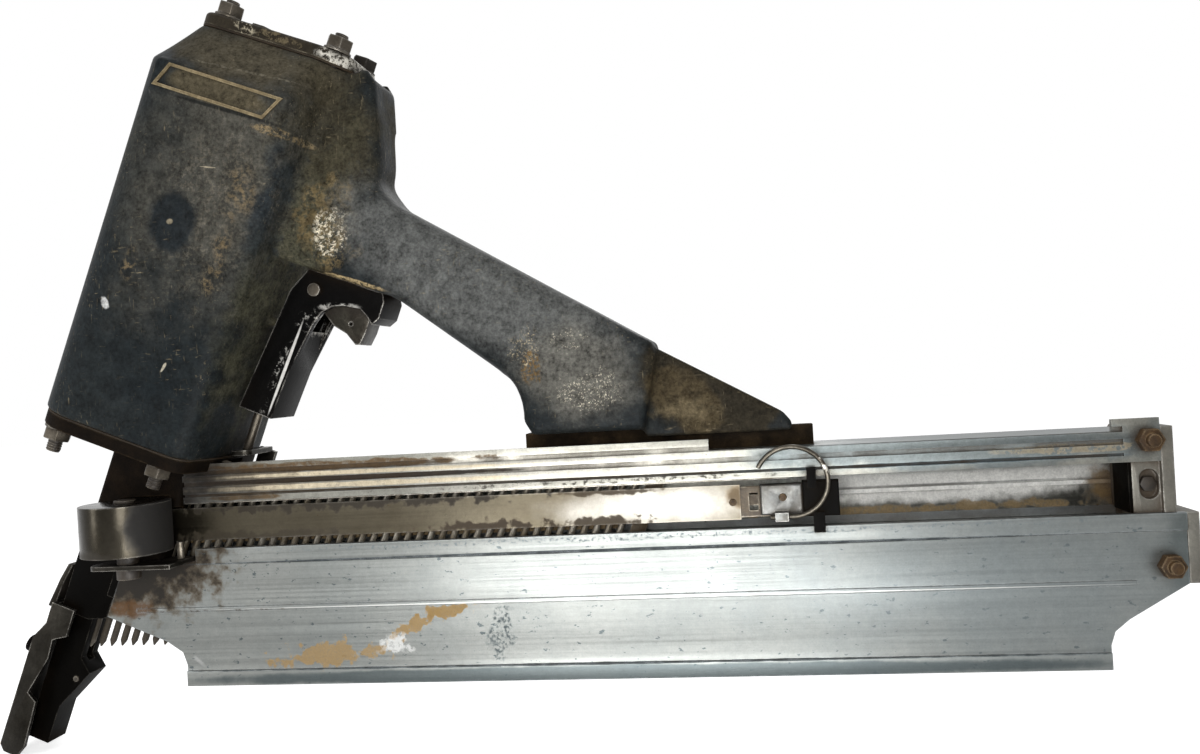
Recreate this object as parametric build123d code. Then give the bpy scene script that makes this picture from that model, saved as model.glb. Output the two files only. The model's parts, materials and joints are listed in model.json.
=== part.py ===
from build123d import *
from math import cos, radians, sin, tan
import os

os.makedirs("parts", exist_ok=True)

# Frame of the whole tool, in millimetres: +X runs along the magazine to the rear, +Z is up,
# -Y is the near side. The origin is the middle of the grip.
# The drive line leans back; its own coordinates are p to the rear, y across and q up the line.
LEAN = radians(22.0)
BASE_X, BASE_Z = -162.0, -61.0
DRIVE = Plane(
    origin=(BASE_X, 0, BASE_Z),
    x_dir=(cos(LEAN), 0, -sin(LEAN)),
    z_dir=(sin(LEAN), 0, cos(LEAN)),
)

# Clearances, and how far a cutting tool runs past a face
RUN_FIT = 0.05
FREE_GAP = 0.5
PAST = 12.0
FAR_OUT = 300.0

# Cylinder and piston; the drive line runs a little ahead of the housing's middle
AXIS = (-3.0, 0.0)
SLEEVE_R, SLEEVE_WALL, SLEEVE_TOP = 28.0, 3.0, 172.0
SLEEVE_OUT = SLEEVE_R + SLEEVE_WALL
SEAL_DEPTH, SEAL_HEIGHT, SEAL_LOW = 1.4, 2.4, 4.0
BUMPER_TOP, BUMPER_HOLE = 20.0, 8.0
PISTON_LOW, PISTON_HEIGHT = 156.0, 14.0
PISTON_RIM, PISTON_DISH = 9.0, 4.0
RING_HEIGHT, RING_DEPTH = 3.0, 2.5
BLADE_R = 3.4
BLADE_REST = 1.3

# Body casting
BODY_DISCS = [(-17.0, 17.0, 24.0), (34.0, 31.0, 10.0), (40.0, 10.0, 6.0)]
HEAD_DISCS = [(-16.0, 14.0, 10.0), (36.0, 16.0, 8.0), (46.0, 12.0, 6.0)]
BODY_TOP, HEAD_TOP = 175.0, 198.0
AIR_JACKET, JACKET_LOW = 3.5, 10.0
BORE_R = SLEEVE_OUT + AIR_JACKET
BAND_LOW, BAND_PROUD, BAND_FRONT, BAND_REAR = 158.5, 1.2, -28.0, 40.0
BOSS_HALF, BOSS_ROUND = 17.0, 4.0
BOSS_REAR = [(-31.0, 104.0), (-28.0, 98.0), (-28.0, 58.0), (-33.0, 47.0), (-90.0, 30.0)]
BOSS_P = 40.0
EXHAUST_P, EXHAUST_HALF, EXHAUST_DEPTH = (50.0, 62.0), 12.0, 6.0
HEAD_CUT_P = (-60.0, 56.0)

# Grip, end block and rear fin
LEDGE_Q, LEDGE_P = 103.0, (40.0, 104.0)
LEDGE_ROUND, LEDGE_REAR = 3.0, [(-10.0, 20.0), (-30.0, 50.0)]
LEDGE_TOP_Q = 150.0
GRIP_HALF, GRIP_ROUND = 19.0, 9.0
GRIP_TOP, GRIP_FRONT = (-22.0, 39.0), -48.0
GRIP_FALL = tan(radians(31.6))
GRIP_END = (60.0, -72.0)
BLOCK_HALF, BLOCK_ROUND, BLOCK_LOW = 20.0, 4.0, -74.2
BLOCK_FRONT = [(27.0, -44.0), (32.0, -51.0), (34.5, -58.0), (35.5, -68.0), (39.0, BLOCK_LOW)]
BLOCK_REAR = [(91.5, BLOCK_LOW), (98.5, -41.0)]
BLOCK_TOP_X = (97.0, 62.0)
GRIP_REAR = 88.0
FIN_Y = (-13.0, -5.0)
FIN = [(90.0, -42.0), (98.5, -37.2), (154.5, -69.5), (158.5, -74.5), (158.0, -78.0)]
FIN += [(92.0, -78.0), (90.0, -74.0)]
FIN_POCKET, POCKET_DEPTH = [(99.5, -42.5), (136.0, -66.0), (131.0, -73.0), (98.0, -73.5)], 1.0
AIR_HALF, AIR_ROUND, AIR_FLOOR = 12.0, 5.0, 8.4
AIR_REAR = [(-30.0, 28.0), (84.0, -38.0), (84.0, -64.0), (52.0, -58.0)]
AIR_FRONT_X = -14.0

# Air inlet
INLET_X, INLET_Y, INLET_Z = 93.0, 8.0, -55.0
INLET_R, BUSHING_R, BUSHING_AF = 7.4, 10.0, 20.0
BUSHING_DEPTH, BUSHING_COLLAR, SEAT_R = 12.0, 6.0, 12.4

# Head valve, above the sleeve
VALVE_GAP, VALVE_DISC, VALVE_LIFT = 0.3, 5.7, 5.0
VALVE_ROOM, VALVE_STEM_R, VALVE_STOP = 14.5, 12.0, 2.0
VALVE_INSET = 1.0
VALVE_R = SLEEVE_OUT - VALVE_INSET
HEAD_BORE = 15.5
HEAD_SPRING_IN, HEAD_SPRING_OUT = 12.4, 14.9

# Fasteners: quarter inch studs with seven sixteenths nuts
STUD_R, NUT_AF, NUT_HEIGHT = 3.1, 11.1, 5.6
WASHER_R, WASHER_THICK = 6.6, 1.2
STUD_PROUD, NOSE_STUD_PROUD = 2.0, 6.0
CAP_STUD_P, CAP_STUD_Y, CAP_STUD_DEPTH = (-15.0, 43.0), 16.0, 10.5
NOSE_STUD_P, NOSE_STUD_Y, NOSE_STUD_DEPTH = (-27.3, 27.3), 30.0, 9.0

# Cap
GASKET, CAP_THICK, CAP_ROUND = 1.0, 6.0, 2.0

# Magazine
MAG_HALF, MAG_WALL = 16.0, 2.5
MAG_LEFT, MAG_RIGHT = -137.0, 313.0
LIP_TOP, FAR_LIP_TOP, WEB_TOP, WEB_THICK = -80.2, -82.6, -85.5, 3.0
LIP_CUT, LIP_END = 120.0, 293.5
WINDOW_TOP, WINDOW_LOW = -99.0, -121.3
GROOVES, GROOVE_DEPTH, GROOVE_END = [(-83.4, -85.8), (-88.8, -91.2), (-94.9, -96.2)], 1.5, 15.0
GUIDE_IN, GUIDE_WALL, GUIDE_END = 4.5, 2.0, 12.0
RIDGE_PROUD, RIDGE_HALF = 1.5, 1.0
PLATE_EDGE = 6.0
BEAD_LEFT, BEAD_LOW, BEAD_PROUD = -132.0, -129.0, 1.0
NAIL_SHELF_IN, NAIL_SHELF_LOW, NAIL_SHELF_TOP, NAIL_SHELF_END = 2.5, -129.0, -125.0, 20.0
LOWER_LEFT, LOWER_TURN, LOWER_RIGHT = -140.0, 288.5, 321.8
EDGE_P = 17.0
LIP_HEIGHT, LIP_PROUD, LIP_INSIDE = 7.5, 0.8, 2.0
RIB_X, RIB_HEIGHT, RIB_PROUD = (-165.0, 300.0), 2.0, 0.6
STRIP_END, STRIP_THICK, STRIP_SINK, STRIP_INSIDE = 155.0, 1.5, 0.2, 0.8

# Nails, three and a quarter inches long, hung from their heads under the rail
NAIL_LENGTH, NAIL_R, NAIL_HEAD_R, NAIL_HEAD = 82.6, 1.65, 3.5, 1.6
NAIL_CLIP, NAIL_PITCH, NAIL_COUNT = 2.3, 5.85, 45
NAIL_DROP, NAIL_GAP, NAIL_POINT, NAIL_TIP_R = 6.9, 0.5, 3.0, 0.4
TAPE, TAPE_HEIGHT, TAPE_PAST = 0.4, 9.0, 1.0
TAPE_SHARE = (0.27, 0.66)
NAIL_TOP_Z = WEB_TOP - WEB_THICK - NAIL_DROP
NAIL_TIP_Z = NAIL_TOP_Z - NAIL_LENGTH * cos(LEAN)
FIRST_P = AXIS[0] + BLADE_R + NAIL_HEAD_R + NAIL_GAP
FIRST_TOP = (NAIL_TOP_Z - BASE_Z + FIRST_P * sin(LEAN)) / cos(LEAN)
FIRST_TIP = FIRST_TOP - NAIL_LENGTH
BLADE_TIP = FIRST_TOP + BLADE_REST

# Lower edge of the magazine's plates, measured from the nail tips
PLATE_DEPTH = 16.5
PLATE_LOW = NAIL_TIP_Z - PLATE_DEPTH
LIP_LOW = PLATE_LOW + LIP_HEIGHT
EXIT_RISE, RIB_RISE, CORNER_RISE = 18.5, 20.0, 20.0
EXIT_CURVE = [(-150.0, 5.5), (-142.0, 0.0)]
REAR_CURVE = [(290.5, 0.0), (296.5, 5.0)]
CURVE_DROP = 6.0

# Rear end of the magazine
UPPER_BOLT, LOWER_BOLT_X, LOWER_BOLT_RISE = (308.0, -89.5), 314.0, 28.0
BOLT_R, BOLT_AF, BOLT_HEAD, BOLT_TIP = 2.8, 9.5, 5.0, 3.0
END_WALL, END_FRONT, STOP_THICK = 5.2, 301.5, 1.5
END_STEP, END_INSIDE, END_FOOT, END_CAP = 303.0, 305.0, 5.0, 1.5
RECESS_X, RECESS_Z, RECESS_LONG, RECESS_WIDE, RECESS_DEEP = 308.5, -109.0, 13.0, 8.0, 3.0
RECESS_NUT_AF, RECESS_NUT = 6.5, 2.4

# Tail bracket between the rail and the end block, with its screws
BRACKET_X, BRACKET_Y = (33.0, 158.0), (-4.0, 12.5)
TAIL_END, TAIL_HALF, TAIL_STEP = 168.0, 4.0, 2.0
BRACKET_SCREW_X, BRACKET_SCREW_Y = (45.0, 80.0), 9.8
BRACKET_SCREW_R, BRACKET_SCREW_DEPTH = 2.5, 9.0
SCREW_HEAD_GROW, SCREW_HEAD = 0.7, 2.5


# Nose, with its lower forms measured from the first nail's tip
NOSE_GASKET, FLANGE, FLANGE_INSET = 0.8, 6.0, 1.0
NECK_FRONT, NECK_REAR, NECK_HALF, NECK_LOW, NECK_ROUND = -8.5, 34.0, 13.2, -62.0, 3.0
CHANNEL_R = 3.9
HEAD_SLOT, SHANK_SLOT, SLOT_ROOM, SLOT_TOP = 4.3, 2.3, 1.5, 6.0
NOSE_FRONT, NOSE_HALF, NOSE_FLARE = -10.5, 11.0, 1.0
NOSE_UPPER = [(14.0, 21.9), (5.0, 17.9)]
NOSE_WEDGE = [(5.0, -4.1), (12.0, -10.1)]
BARREL_HALF, BARREL_REAR, BARREL_TURN, BARREL_LENGTH = 6.8, 1.6, 32.1, 52.1
SLOT_DEPTH, SLOT_REAR = 6.1, 40.0
TONGUE_P, TONGUE_Q = (12.0, 23.0), (6.0, 22.0)
NOSE_PIN_P, NOSE_PIN_DROP, NOSE_PIN_R, NOSE_PIN_PROUD = 6.0, 15.1, 1.5, 0.6

# Contact trip
TRIP_FRONT, TRIP_UPPER, TRIP_SHEET = -18.5, -14.0, 2.5
TRIP_HALF, TRIP_FLANGE, TRIP_CORNER = 14.5, 2.0, 3.0
TRIP_DROP, TRIP_RISE = 60.1, 20.9
TRIP_LOW, TRIP_TOP = FIRST_TIP - TRIP_DROP, FIRST_TIP + TRIP_RISE
TRIP_BEND = (0.9, 9.9)
TRIP_REAR = [(-1.5, 6.9), (-8.0, 2.9), (-7.3, -7.1), (-12.4, -27.1), (-6.9, -30.1), (-5.5, -54.1)]
TRIP_FOOT_REAR, TRIP_CLEAR, TRIP_BEHIND = -8.0, 5.0, 20.0
TRIP_PLATE_RISE, TRIP_LAP = 40.9, 4.0
TRIP_PLATE_FRONT = [(-16.0, 31.9), (-14.0, TRIP_PLATE_RISE)]
TRIP_PLATE_REAR = [(-11.5, TRIP_PLATE_RISE), (-13.4, 30.9)]
TRIP_PLATE_P, TRIP_PLATE_SEAT = -18.0, 2.0
TRIP_SCREW_Y, TRIP_SCREW_DROP = -7.0, 6.1
TRIP_SCREW_R, TRIP_SCREW_HEAD, TRIP_SCREW_PROUD, TRIP_SCREW_IN = 1.6, 4.2, 4.6, 1.0
YOKE_NEAR = 17.6
YOKE_UPPER = [(51.0, 6.0), (60.0, 6.0), (60.0, -32.0)]
YOKE_LOWER = [(0.0, 25.9), (-16.0, 16.9), (-16.0, 37.9), (-8.0, 41.9)]
YOKE_INNER = (51.0, -26.0)
ROD_P, ROD_R, ROD_FOOT = 53.0, 2.2, 6.0
TAB_Z, TAB_THICK, TAB_X, TAB_HALF, TAB_ROUND = -77.5, 2.5, (-116.5, -105.5), 8.5, 4.0
SPRING_INSIDE, SPRING_OUTSIDE = 1.0, 1.6

# Trigger, guard and valve, measured from the ledge under the grip
PIN_P, PIN_DROP, PIN_R = 67.0, 9.0, 2.5
PIN_HEAD, PIN_HEAD_HIGH, PIN_TAIL, PIN_TAIL_HIGH = 0.7, 1.8, 0.6, 1.2
GUARD_HALF, GUARD_SHEET = 13.0, 1.5
GUARD_FRONT = [(48.0, -75.0), (65.5, -75.5), (67.0, -51.0), (71.3, -25.0), (73.5, -18.5), (77.5, -14.0)]
GUARD_REAR = [(83.0, -11.7), (91.5, -10.5), (96.0, -13.0), (99.5, -16.0)]
GUARD_REAR += [(102.0, -12.0), (102.0, -4.0), (100.0, 0.0)]
GUARD_TOP = [(61.0, 0.0), (55.2, -12.7)]
GUARD_SHIFT = (-0.9 * GUARD_SHEET, 0.95 * GUARD_SHEET)
LEVER_SLOT_P, LEVER_SLOT_Q = (69.0, 98.8), (-40.0, 2.0)
ROD_SLOT_P, ROD_SLOT_Q, ROD_SLOT_ROOM = 40.0, (-93.0, -43.0), 4.0
LEVER_HALF, LEVER_SHEET, LEVER_HOLE = 8.0, 1.5, (87.6, -19.3, 0.9)
LEVER_TOP = [(63.0, -6.5), (66.0, -4.0), (70.0, -4.6)]
LEVER_TIP = [(96.0, -10.0), (96.0, -21.0), (95.0, -27.5), (93.0, -28.2)]
LEVER_PULL = [(87.0, -24.5), (80.0, -23.0), (74.5, -19.5), (70.0, -15.5), (64.0, -13.0)]
EAR_IN, EAR_TOP_P, EAR_LOW_P, EAR_PAST = 9.6, (60.0, 76.0), (62.0, 72.0), 5.0
SHELF_DROP, SHELF_P, SHELF_HALF, SHELF_THICK, SPRING_ROOM = 33.0, (40.0, 60.0), 6.0, 4.0, 30.0
VALVE_P, VALVE_BODY_R, VALVE_BODY_HIGH = 92.0, 9.0, 37.0
STEM_R, STEM_DROP, STEM_HIGH = 3.0, 6.2, 23.0
STEM_COLLAR_R, STEM_COLLAR_RISE, STEM_COLLAR = 5.0, 9.3, 2.7
CHAMBER_R, CHAMBER_RISE, CHAMBER_HIGH = 6.0, 9.0, 33.0
VALVE_SEAL_LOW, VALVE_SEAL_HIGH = 4.0, 8.0
STEM_SPRING_IN, STEM_SPRING_OUT = 0.4, 0.5
PIN_Q = LEDGE_Q - PIN_DROP
SHELF_Q = LEDGE_Q - SHELF_DROP
ROD_TOP = SHELF_Q - SPRING_ROOM
VALVE_BODY_TOP = LEDGE_Q + VALVE_BODY_HIGH
CHAMBER_TOP = LEDGE_Q + CHAMBER_HIGH
STEM_LOW = LEDGE_Q - STEM_DROP

# Feed spring and drum
DRUM_X, DRUM_Y, DRUM_R, DRUM_WALL = -158.7, -30.0, 20.5, 1.2
DRUM_LOW, DRUM_TOP = -119.8, -96.0
COIL_GAP, COIL_HOLE = 0.7, 7.0
COIL_R = DRUM_R - DRUM_WALL - COIL_GAP
BAND_LOW_Z, BAND_TOP_Z, BAND_THICK, BAND_END = -118.0, -102.0, 0.4, 133.0
DRUM_MOUTH, MOUTH_IN, MOUTH_OUT, MOUTH_ROOM = (2.5, 40.0), 5.0, 8.0, 0.8
NOSE_ROOM, BAND_ROOM, BAND_SLOT = 0.8, 1.0, (2.0, 2.5)
AXLE_R, AXLE_NUT, AXLE_NUT_HIGH, AXLE_COLLAR, AXLE_CAP = 3.0, 2.5, 5.0, 2.0, 1.5
BAR_X, BAR_HALF, BAR_THICK, BAR_ARM, BAR_ROUND = (-176.0, -133.5), 7.0, 2.2, 12.5, 5.0
BRACKET_PIN, BRACKET_PIN_R, BRACKET_PIN_HIGH = (-137.0, -21.0), 1.7, 8.3

# Pusher and pull ring
PUSHER_X, PUSHER_Z, PUSHER_THICK = (125.0, 172.0), (-117.0, -103.0), 2.0
PUSHER_SLOT_X, PUSHER_SLOT_Z = (137.0, 141.0), (-114.0, -106.0)
FOOT_Z, FOOT_TOP, FOOT_RISE, FOOT_HALF, FOOT_GAP = -109.0, -101.0, 12.0, 2.0, 5.0
FOOT_WIDE = (5.0, 9.0)
FOOT_ARM_X, FOOT_ARM_Z, FOOT_ARM_IN = 150.0, (-112.0, -107.0), 4.0
PUSH_BLOCK_X, PUSH_BLOCK_Z, PUSH_BLOCK_NEAR, PUSH_BLOCK_ROUND = (142.0, 161.0), (-116.0, -102.0), -15.5, 1.2
LUG_X, LUG_NEAR, LUG_IN, LUG_LOW, LUG_HIGH = (148.0, 154.0), 2.2, 1.0, 1.9, 2.2
FOLLOWER_X, FOLLOWER_Z, FOLLOWER_NEAR, FOLLOWER_ROUND = (161.0, 177.0), (-117.0, -101.0), -16.6, 1.0
HORN_X, HORN_Z, HORN_NEAR = (163.0, 167.0), (-104.0, -95.0), -18.4
HOOK_X, HOOK_Z, HOOK_NEAR, HOOK_FAR = (165.0, 170.0), (-124.0, -115.0), -18.8, -17.5
HORN_IN, RELIEF_X, RELIEF_DEEP = 2.0, 172.0, 1.0
RIVET_R, RIVET_PLATE, RIVET_BLOCK, RIVET_PROUD = 1.6, (129.5, -110.0), (152.0, -108.0), (1.4, 1.0)
RING_R, WIRE_R, RING_LEAN, RING_SWEEP = 16.0, 1.1, 8.0, 244.0
RING_X, RING_PIN_Y, RING_PIN_Z, RING_STRAIGHT = 156.0, -18.5, -116.5, 10.0


def node(name, *solids):
    """Write one node of the tool as its own file."""
    if len(solids) == 1:
        shape = solids[0]
    else:
        shape = Compound(children=list(solids))
    shape.label = name
    export_step(shape, f"parts/{name}.step")


def drive(shape):
    """Move a shape from the drive line's coordinates to the tool's frame."""
    return DRIVE.location * shape


def world(p, q):
    """Give the tool's x and z for a point on the drive line's middle plane."""
    return (
        BASE_X + q * sin(LEAN) + p * cos(LEAN),
        BASE_Z + q * cos(LEAN) - p * sin(LEAN),
    )


def along_drive(points, level=0.0):
    """Give the tool's (x, z) for drive-line points measured from a level."""
    return [world(p, level + q) for p, q in points]


def prism(points, y_low, y_high):
    """Extrude a polygon of (x, z) points across the tool."""
    wire = Wire.make_polygon([(x, y_low, z) for x, z in points], close=True)
    return extrude(Face(wire), amount=y_high - y_low, dir=(0, 1, 0))


def box(x0, x1, y0, y1, z0, z1):
    """Make a box between two corners."""
    middle = ((x0 + x1) / 2, (y0 + y1) / 2, (z0 + z1) / 2)
    return Pos(*middle) * Box(abs(x1 - x0), abs(y1 - y0), abs(z1 - z0))


def rod(r, low, high, at=(0, 0)):
    """Make a cylinder standing between two heights."""
    return Pos(at[0], at[1], (low + high) / 2) * Cylinder(r, high - low)


def tube(r_in, r_out, low, high, at=(0, 0)):
    """Make a plain tube standing between two heights."""
    return rod(r_out, low, high, at) - rod(r_in, low, high, at)


def cross_rod(r, y_low, y_high, x, z):
    """Make a cylinder lying across the tool."""
    return Pos(x, (y_low + y_high) / 2, z) * Rot(90, 0, 0) * Cylinder(r, y_high - y_low)


def hexagon(flats, low, high, at=(0, 0)):
    """Make a hexagonal prism of a given width across the flats."""
    face = RegularPolygon(flats / 2, 6, major_radius=False)
    return Pos(at[0], at[1], low) * extrude(face, amount=high - low, dir=(0, 0, 1))


def hull(discs, low):
    """Make the face round a set of (p, y, r) discs and their mirror images."""
    sketch = Sketch()
    for p, y, r in discs:
        sketch += [Pos(p, y) * Circle(r), Pos(p, -y) * Circle(r)]
    return Pos(0, 0, low) * make_hull(sketch.edges())


def shrunk(discs, inset):
    """Give the same discs with every radius made smaller."""
    return [(p, y, r - inset) for p, y, r in discs]


def rounded(solid, radius):
    """Round the two rims of a prism that was extruded across the tool."""
    groups = solid.edges().group_by(Axis.Y)
    return fillet(groups[0] + groups[-1], radius)


def handle_top(x):
    """Height of the grip's upper line."""
    return GRIP_TOP[1] - (x - GRIP_TOP[0]) * GRIP_FALL


def handle_low(x):
    """Height of the grip's lower line, which starts at the rear of the ledge."""
    ledge_x, ledge_z = world(LEDGE_P[1], LEDGE_Q)
    return ledge_z + (x - ledge_x) * (GRIP_END[1] - ledge_z) / (GRIP_END[0] - ledge_x)


def left_edge(z):
    """X of the lower rail's sloping left edge at a height."""
    edge_x, edge_z = world(EDGE_P, 0)
    return edge_x + (z - edge_z) * tan(LEAN)


# Values worked from the sizes above
CAP_LOW = HEAD_TOP + GASKET
CAP_TOP = CAP_LOW + CAP_THICK
CAP_NUT = CAP_TOP + WASHER_THICK
CAP_STUDS = [(p, y) for p in CAP_STUD_P for y in (-CAP_STUD_Y, CAP_STUD_Y)]
NOSE_STUDS = [(p, y) for p in NOSE_STUD_P for y in (-NOSE_STUD_Y, NOSE_STUD_Y)]
FLANGE_LOW = -NOSE_GASKET - FLANGE
NOSE_NUT = FLANGE_LOW - WASHER_THICK
GUARD_IN = GUARD_HALF - GUARD_SHEET
WALL_IN = MAG_HALF - MAG_WALL
WEB_LOW = WEB_TOP - WEB_THICK
PIN_X, PIN_Z = world(PIN_P, PIN_Q)


def make_housing():
    """Build the cylinder housing, the head, the band and the rear boss."""
    housing = extrude(hull(BODY_DISCS, 0), amount=BODY_TOP, dir=(0, 0, 1))
    housing += loft([hull(BODY_DISCS, BODY_TOP), hull(HEAD_DISCS, HEAD_TOP)], ruled=True)
    band_half = BODY_DISCS[0][1] + BODY_DISCS[0][2] + BAND_PROUD
    housing += box(BAND_FRONT, BAND_REAR, -band_half, band_half, BAND_LOW, BODY_TOP)
    housing += box(*SHELF_P, -SHELF_HALF, SHELF_HALF, SHELF_Q, SHELF_Q + SHELF_THICK)
    boss = BOSS_REAR + [world(BOSS_P, BODY_TOP), world(BOSS_P, HEAD_TOP)]
    return drive(housing) + rounded(prism(boss, -BOSS_HALF, BOSS_HALF), BOSS_ROUND)


def make_handle():
    """Build the ledge over the trigger, the grip, the end block and the fin."""
    ledge = [world(p, LEDGE_Q) for p in LEDGE_P] + LEDGE_REAR + [world(LEDGE_P[0], LEDGE_TOP_Q)]
    handle = rounded(prism(ledge, -GRIP_HALF, GRIP_HALF), LEDGE_ROUND)
    grip = [
        (GRIP_FRONT, handle_top(GRIP_FRONT)),
        (GRIP_REAR, handle_top(GRIP_REAR)),
        GRIP_END,
        (GRIP_FRONT, handle_low(GRIP_FRONT)),
    ]
    handle += rounded(prism(grip, -GRIP_HALF, GRIP_HALF), GRIP_ROUND)
    block = BLOCK_FRONT + BLOCK_REAR + [(x, handle_top(x)) for x in BLOCK_TOP_X]
    handle += rounded(prism(block, -BLOCK_HALF, BLOCK_HALF), BLOCK_ROUND)
    handle += prism(FIN, *FIN_Y)
    handle -= prism(FIN_POCKET, FIN_Y[0] - PAST, FIN_Y[0] + POCKET_DEPTH)
    ear = [world(p, LEDGE_Q) for p in EAR_TOP_P] + [world(p, PIN_Q - EAR_PAST) for p in reversed(EAR_LOW_P)]
    for side in (-1, 1):
        handle += prism(ear, *sorted((side * EAR_IN, side * GUARD_IN)))
    return handle


def make_body():
    """Join the casting and cut its bores and air spaces."""
    body = make_housing() + make_handle()
    body -= cross_rod(PIN_R, -GUARD_HALF, GUARD_HALF, PIN_X, PIN_Z)
    hollow = rod(BORE_R, JACKET_LOW, BAND_LOW, AXIS)
    hollow += rod(SLEEVE_OUT, -PAST, SLEEVE_TOP + VALVE_ROOM, AXIS)
    hollow += rod(HEAD_BORE, SLEEVE_TOP, HEAD_TOP + PAST, AXIS)
    for at in CAP_STUDS:
        hollow += rod(STUD_R, HEAD_TOP - CAP_STUD_DEPTH, HEAD_TOP + PAST, at)
    for at in NOSE_STUDS:
        hollow += rod(STUD_R, -PAST, NOSE_STUD_DEPTH, at)
    hollow += rod(VALVE_BODY_R, LEDGE_Q - PAST, VALVE_BODY_TOP, (VALVE_P, 0))
    hollow += box(*EXHAUST_P, -EXHAUST_HALF, EXHAUST_HALF, HEAD_TOP - EXHAUST_DEPTH, HEAD_TOP + FAR_OUT)
    hollow += box(*HEAD_CUT_P, -FAR_OUT, FAR_OUT, HEAD_TOP, HEAD_TOP + FAR_OUT)
    body -= drive(hollow)
    air = AIR_REAR + [(AIR_FRONT_X, handle_low(AIR_FRONT_X) + AIR_FLOOR)]
    body -= rounded(prism(air, -AIR_HALF, AIR_HALF), AIR_ROUND)
    inlet = rod(BUSHING_R, -BUSHING_DEPTH, 0) + rod(SEAT_R, 0, PAST)
    body -= Pos(INLET_X, INLET_Y, INLET_Z) * Rot(0, 90, 0) * inlet
    for x in BRACKET_SCREW_X:
        body -= rod(BRACKET_SCREW_R, BLOCK_LOW, BLOCK_LOW + BRACKET_SCREW_DEPTH, (x, BRACKET_SCREW_Y))
    return body


# Body casting: cylinder housing, head, exhaust boss, grip, end block and rear fin
node("body_casting", make_body())

# Cap, its gasket and its fasteners; the far studs end level with their nuts
cap = extrude(hull(HEAD_DISCS, CAP_LOW), amount=CAP_THICK, dir=(0, 0, 1))
cap = fillet(cap.edges().group_by(Axis.Z)[-1], CAP_ROUND)
gasket = extrude(hull(HEAD_DISCS, HEAD_TOP), amount=GASKET, dir=(0, 0, 1))
gasket -= rod(HEAD_BORE, HEAD_TOP, CAP_LOW, AXIS)
for at in CAP_STUDS:
    cap -= rod(STUD_R, CAP_LOW, CAP_TOP, at)
    gasket -= rod(STUD_R, HEAD_TOP, CAP_LOW, at)
node("cylinder_cap", drive(cap))
node("cap_gasket", drive(gasket))


def cap_stud(at):
    """Make one stud of the cap."""
    proud = STUD_PROUD if at[1] < 0 else 0.0
    return drive(rod(STUD_R, HEAD_TOP - CAP_STUD_DEPTH, CAP_NUT + NUT_HEIGHT + proud, at))


def stud_nut(low, at):
    """Make a nut on a stud of the drive line."""
    return drive(hexagon(NUT_AF, low, low + NUT_HEIGHT, at) - rod(STUD_R, low, low + NUT_HEIGHT, at))


node("cap_studs", *[cap_stud(at) for at in CAP_STUDS])
node("cap_washers", *[drive(tube(STUD_R, WASHER_R, CAP_TOP, CAP_NUT, at)) for at in CAP_STUDS])
node("cap_nuts", *[stud_nut(CAP_NUT, at) for at in CAP_STUDS])

# Cylinder sleeve with its seals, and the bumper
sleeve = tube(SLEEVE_R, SLEEVE_OUT, 0, SLEEVE_TOP, AXIS)
seal_at = (SEAL_LOW, (BAND_LOW + SLEEVE_TOP) / 2)
seals = [tube(SLEEVE_OUT - SEAL_DEPTH, SLEEVE_OUT, q, q + SEAL_HEIGHT, AXIS) for q in seal_at]
for seal in seals:
    sleeve -= seal
node("cylinder_sleeve", drive(sleeve))
node("sleeve_seals", *[drive(seal) for seal in seals])
node("bumper", drive(tube(BUMPER_HOLE, SLEEVE_R, 0, BUMPER_TOP, AXIS)))

# Piston, its ring and the driver blade
piston_top = PISTON_LOW + PISTON_HEIGHT
piston = rod(SLEEVE_R - RUN_FIT, PISTON_LOW, piston_top, AXIS)
ring_low = PISTON_LOW + (PISTON_HEIGHT - RING_HEIGHT) / 2
ring = tube(SLEEVE_R - RING_DEPTH, SLEEVE_R - RUN_FIT, ring_low, ring_low + RING_HEIGHT, AXIS)
piston -= ring
piston -= rod(SLEEVE_R - PISTON_RIM, piston_top - PISTON_DISH, piston_top, AXIS)
node("piston", drive(piston))
node("piston_ring", drive(ring))
node("driver_blade", drive(rod(BLADE_R, BLADE_TIP, PISTON_LOW, AXIS)))

# Head valve and its spring
disc_low = SLEEVE_TOP + VALVE_GAP
disc_top = disc_low + VALVE_DISC
head_valve = rod(VALVE_R, disc_low, disc_top, AXIS)
head_valve += rod(VALVE_STEM_R, disc_top, HEAD_TOP - VALVE_LIFT - VALVE_STOP, AXIS)
node("head_valve", drive(head_valve))
node("head_valve_spring", drive(tube(HEAD_SPRING_IN, HEAD_SPRING_OUT, disc_top, CAP_LOW, AXIS)))

# Nose gasket and nose casting
mag_room = MAG_HALF + FREE_GAP
mag_cut = box(MAG_LEFT, 0, -mag_room, mag_room, -FAR_OUT, LIP_TOP + FREE_GAP)
nose_face = shrunk(BODY_DISCS, FLANGE_INSET)
nose_gasket = extrude(hull(nose_face, -NOSE_GASKET), amount=NOSE_GASKET, dir=(0, 0, 1))
nose_gasket -= rod(BUMPER_HOLE, -NOSE_GASKET, 0, AXIS)
flange = extrude(hull(nose_face, FLANGE_LOW), amount=FLANGE, dir=(0, 0, 1))
for at in NOSE_STUDS:
    nose_gasket -= rod(STUD_R, -NOSE_GASKET, 0, at)
    flange -= rod(STUD_R, FLANGE_LOW, -NOSE_GASKET, at)
node("nose_gasket", drive(nose_gasket) - mag_cut)
neck = box(NECK_FRONT, NECK_REAR, -NECK_HALF, NECK_HALF, NECK_LOW, FLANGE_LOW)
neck = fillet(neck.edges().filter_by(Axis.Z), NECK_ROUND)
nose = drive(flange + neck - rod(CHANNEL_R, NECK_LOW, -NOSE_GASKET, AXIS)) - mag_cut
head_slot = drive(box(AXIS[0], NECK_REAR + PAST, -HEAD_SLOT, HEAD_SLOT, NECK_LOW, FLANGE_LOW - SLOT_TOP))
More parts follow.
